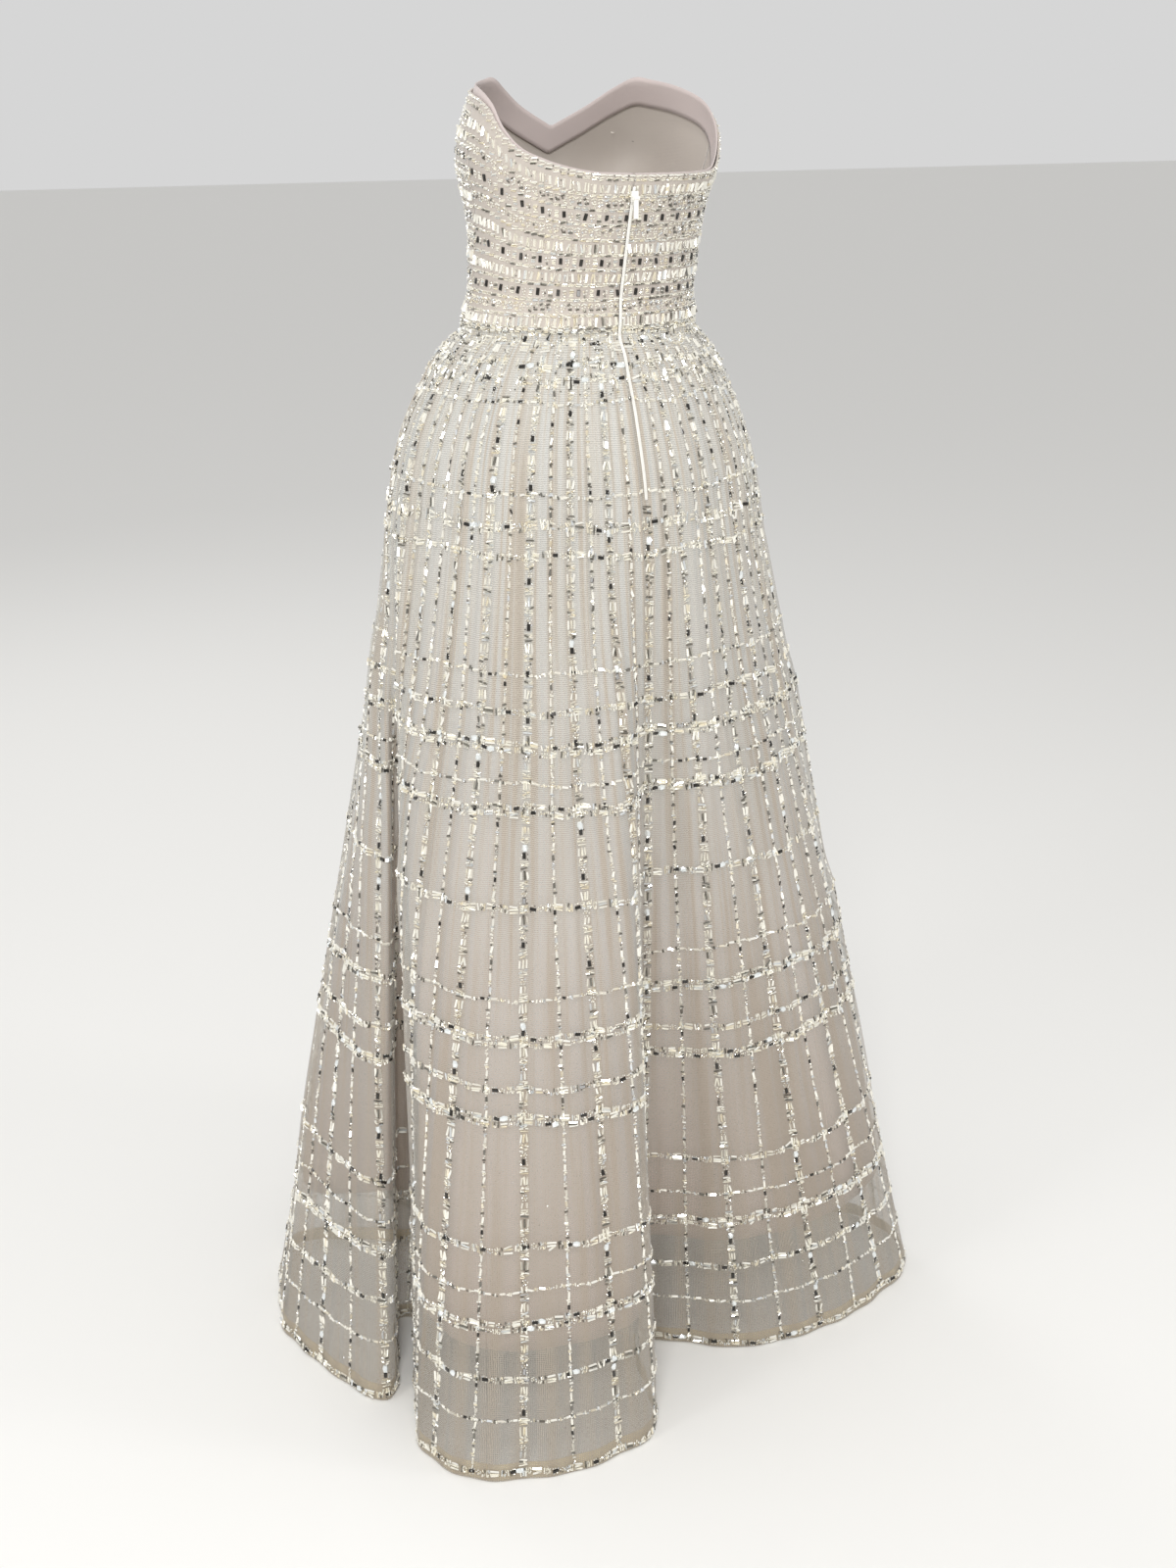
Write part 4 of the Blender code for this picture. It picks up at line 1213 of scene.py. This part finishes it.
bodiceBeads = np.concatenate([rowBeads(base, kind, "back") for base, kind in backRows]
                             + [rowBeads(base, kind, "front") for base, kind in frontRows], axis=1)
angle, height, turned = bodiceBeads[:3]
point, up, around, out = bodiceFrame(angle, height)
along = unit(up * np.cos(turned)[:, None] + around * np.sin(turned)[:, None])
bodiceBeadPieces = {}
for name, (start, end, _) in bodicePanels.items():
    chosen = (angle >= start) & (angle < end)
    piece = beadMesh("beads_" + name, (point + out * beadLift)[chosen], along[chosen], out[chosen],
                     bodiceBeads[3:6, chosen].T, bodiceBeads[6, chosen].astype(int),
                     bodiceBeads[7, chosen].astype(int))
    bodiceBeadPieces[name] = [piece]
print("bodice beads:", bodiceBeads.shape[1])


# The zip: a tape down the centre back and its interlocking teeth, slider and pull.

zipForm = {
    "top": 0.128,
    "end": -0.144,
    "width": 0.0030,
    "clearance": 0.0010,
    "thickness": 0.0009,
    "toothPitch": 1.5 * millimetre,
    "toothLength": 1.5 * millimetre,
    "toothWidth": 0.8 * millimetre,
    "toothHeight": 0.0006,
    "toothShift": (0.00035, 0.00002),   # sideways from the middle, and off the tape
    "toothMargin": 0.002,
    "tapeThickness": 0.0005,
    "tapeCurl": 0.0005,
}


def zipLine(height):
    # Where the zip's outer face lies: out from the centre back of the bodice or of the skirt.
    upper = bodicePoints(np.zeros_like(height), np.maximum(height, 0))
    lower = samplePoints(tulleTable, np.zeros_like(height), np.maximum(-height, 0))
    line = np.where(height[:, None] >= 0, upper, lower)
    line[:, 1] += zipForm["clearance"] + zipForm["thickness"]
    line[:, 2] = height
    return line


zipHeights = np.linspace(zipForm["top"], zipForm["end"], 90)
zipCentre = zipLine(zipHeights)
zipAcross = np.linspace(-0.5, 0.5, 5)[None, :, None] * np.array([zipForm["width"], 0, 0])
zipPoints = zipCentre[:, None, :] + zipAcross
zipPoints[..., 1] -= zipForm["tapeCurl"] * np.array([1, 0.3, 0, 0.3, 1])[None, :]
zipUv = np.stack([zipPoints[..., 0], zipPoints[..., 2]], axis=-1)
tape = gridMesh("zip_tape", zipPoints, zipUv, finishes["zipTape"], zipForm["tapeThickness"])
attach(tape, "dress")
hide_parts("zip_strip")

teeth = np.arange(zipForm["end"] + zipForm["toothMargin"], zipForm["top"] - zipForm["toothMargin"],
                  zipForm["toothPitch"] / 2)
toothLine = zipLine(teeth)
sideways = np.where(np.arange(len(teeth)) % 2 == 0, 1, -1)
toothAside, toothOff = zipForm["toothShift"]
toothCentre = toothLine + np.stack([sideways * toothAside, np.full(len(teeth), toothOff),
                                    np.zeros(len(teeth))], axis=-1)
toothOut = np.tile([0.0, 1.0, 0.0], (len(teeth), 1))
toothAlong = np.tile([1.0, 0.0, 0.0], (len(teeth), 1))
toothSizes = np.tile([zipForm["toothLength"], zipForm["toothWidth"],
                      zipForm["toothHeight"]], (len(teeth), 1))
teethPiece = beadMesh("zip_teeth", toothCentre, toothAlong, toothOut, toothSizes,
                      np.full(len(teeth), shapeNames.index("plate")),
                      np.full(len(teeth), tintNames.index("white")), tilt=0.0)
teethPiece.data.materials.clear()
teethPiece.data.materials.append(finishes["enamel"])

bodiceBeadPieces["bodice_back_left"] += [tape, teethPiece]
for name, grid in bodiceGrids.items():
    declareCloth(bodicePieces[name], grid)

for node in ("zip_slider", "zip_pull"):
    frame["nodes"][node].data.materials.clear()
    frame["nodes"][node].data.materials.append(finishes["enamel"])
print("zip made")


# Floor, light and camera.

studio = {
    "floorHeight": -skirtForm["length"] - 0.0006,     # just under the hem
    "floorSize": 40.0,
    "floorColour": "#ecebe8",
    "worldColour": "#f6f6f6",
    "worldStrength": 0.73,
    "lensPixels": 2050,       # focal length in pixels of a picture 1600 high
    "pictureHeight": 1600,
    "sensor": 36.0,
    "pitch": 20.019,
    "heading": 156.0,
    "cameraPlace": (0.7931, 1.8036, 0.2419),
}
bpy.ops.mesh.primitive_plane_add(size=studio["floorSize"], location=(0, 0, studio["floorHeight"]))
floor = bpy.context.object
floor.name = "floor"
floor.data.materials.append(newMaterial("matt_paper_floor", {
    "Base Color": toLinear(studio["floorColour"]), "Roughness": 0.9})[0])

world = bpy.data.worlds.new("studio")
bpy.context.scene.world = world
world.use_nodes = True
background = world.node_tree.nodes["Background"]
background.inputs["Color"].default_value = toLinear(studio["worldColour"])
background.inputs["Strength"].default_value = studio["worldStrength"]

softLights = (
    # name, place, size, power, aim height
    ("key", (1.15, 2.15, 1.45), 0.6, 36, -0.1),
    ("left", (2.7, 0.9, 0.7), 0.6, 12, -0.3),
    ("right", (-2.3, 1.7, 0.6), 0.6, 11, -0.3),
    ("low", (1.2, 2.9, -0.4), 0.5, 7, -0.7),
    ("top", (0.3, 0.7, 2.3), 0.6, 12, -0.1),
    ("front", (0.4, -2.8, 1.2), 1.2, 12, -0.4),
)
for name, place, size, power, aim in softLights:
    light = bpy.data.lights.new(name, "AREA")
    light.size = size
    light.energy = power
    lamp = addObject(name, light)
    x, y, z = place
    lamp.location = place
    away = math.hypot(x, y)
    lamp.rotation_euler = (math.atan2(away, z - aim), 0, math.atan2(x, -y))

bpy.context.scene.view_settings.view_transform = "Standard"

view = bpy.data.cameras.new("view")
view.sensor_width = studio["sensor"]
view.lens = studio["lensPixels"] / studio["pictureHeight"] * studio["sensor"]
camera = addObject("view", view)
camera.location = studio["cameraPlace"]
camera.rotation_euler = (math.radians(90 - studio["pitch"]), 0, math.radians(studio["heading"]))
bpy.context.scene.camera = camera

bpy.context.view_layer.update()
bpy.context.view_layer.update()
added = {o.name: sum(len(p.vertices) - 2 for p in o.data.polygons) * (2 if o.modifiers else 1)
         for o in bpy.context.scene.objects if o.type == "MESH" and "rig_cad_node" not in o}
print("triangles added:", sum(added.values()), "largest:", max(added, key=added.get),
      max(added.values()))
print("cut sizes:", cutSizes)
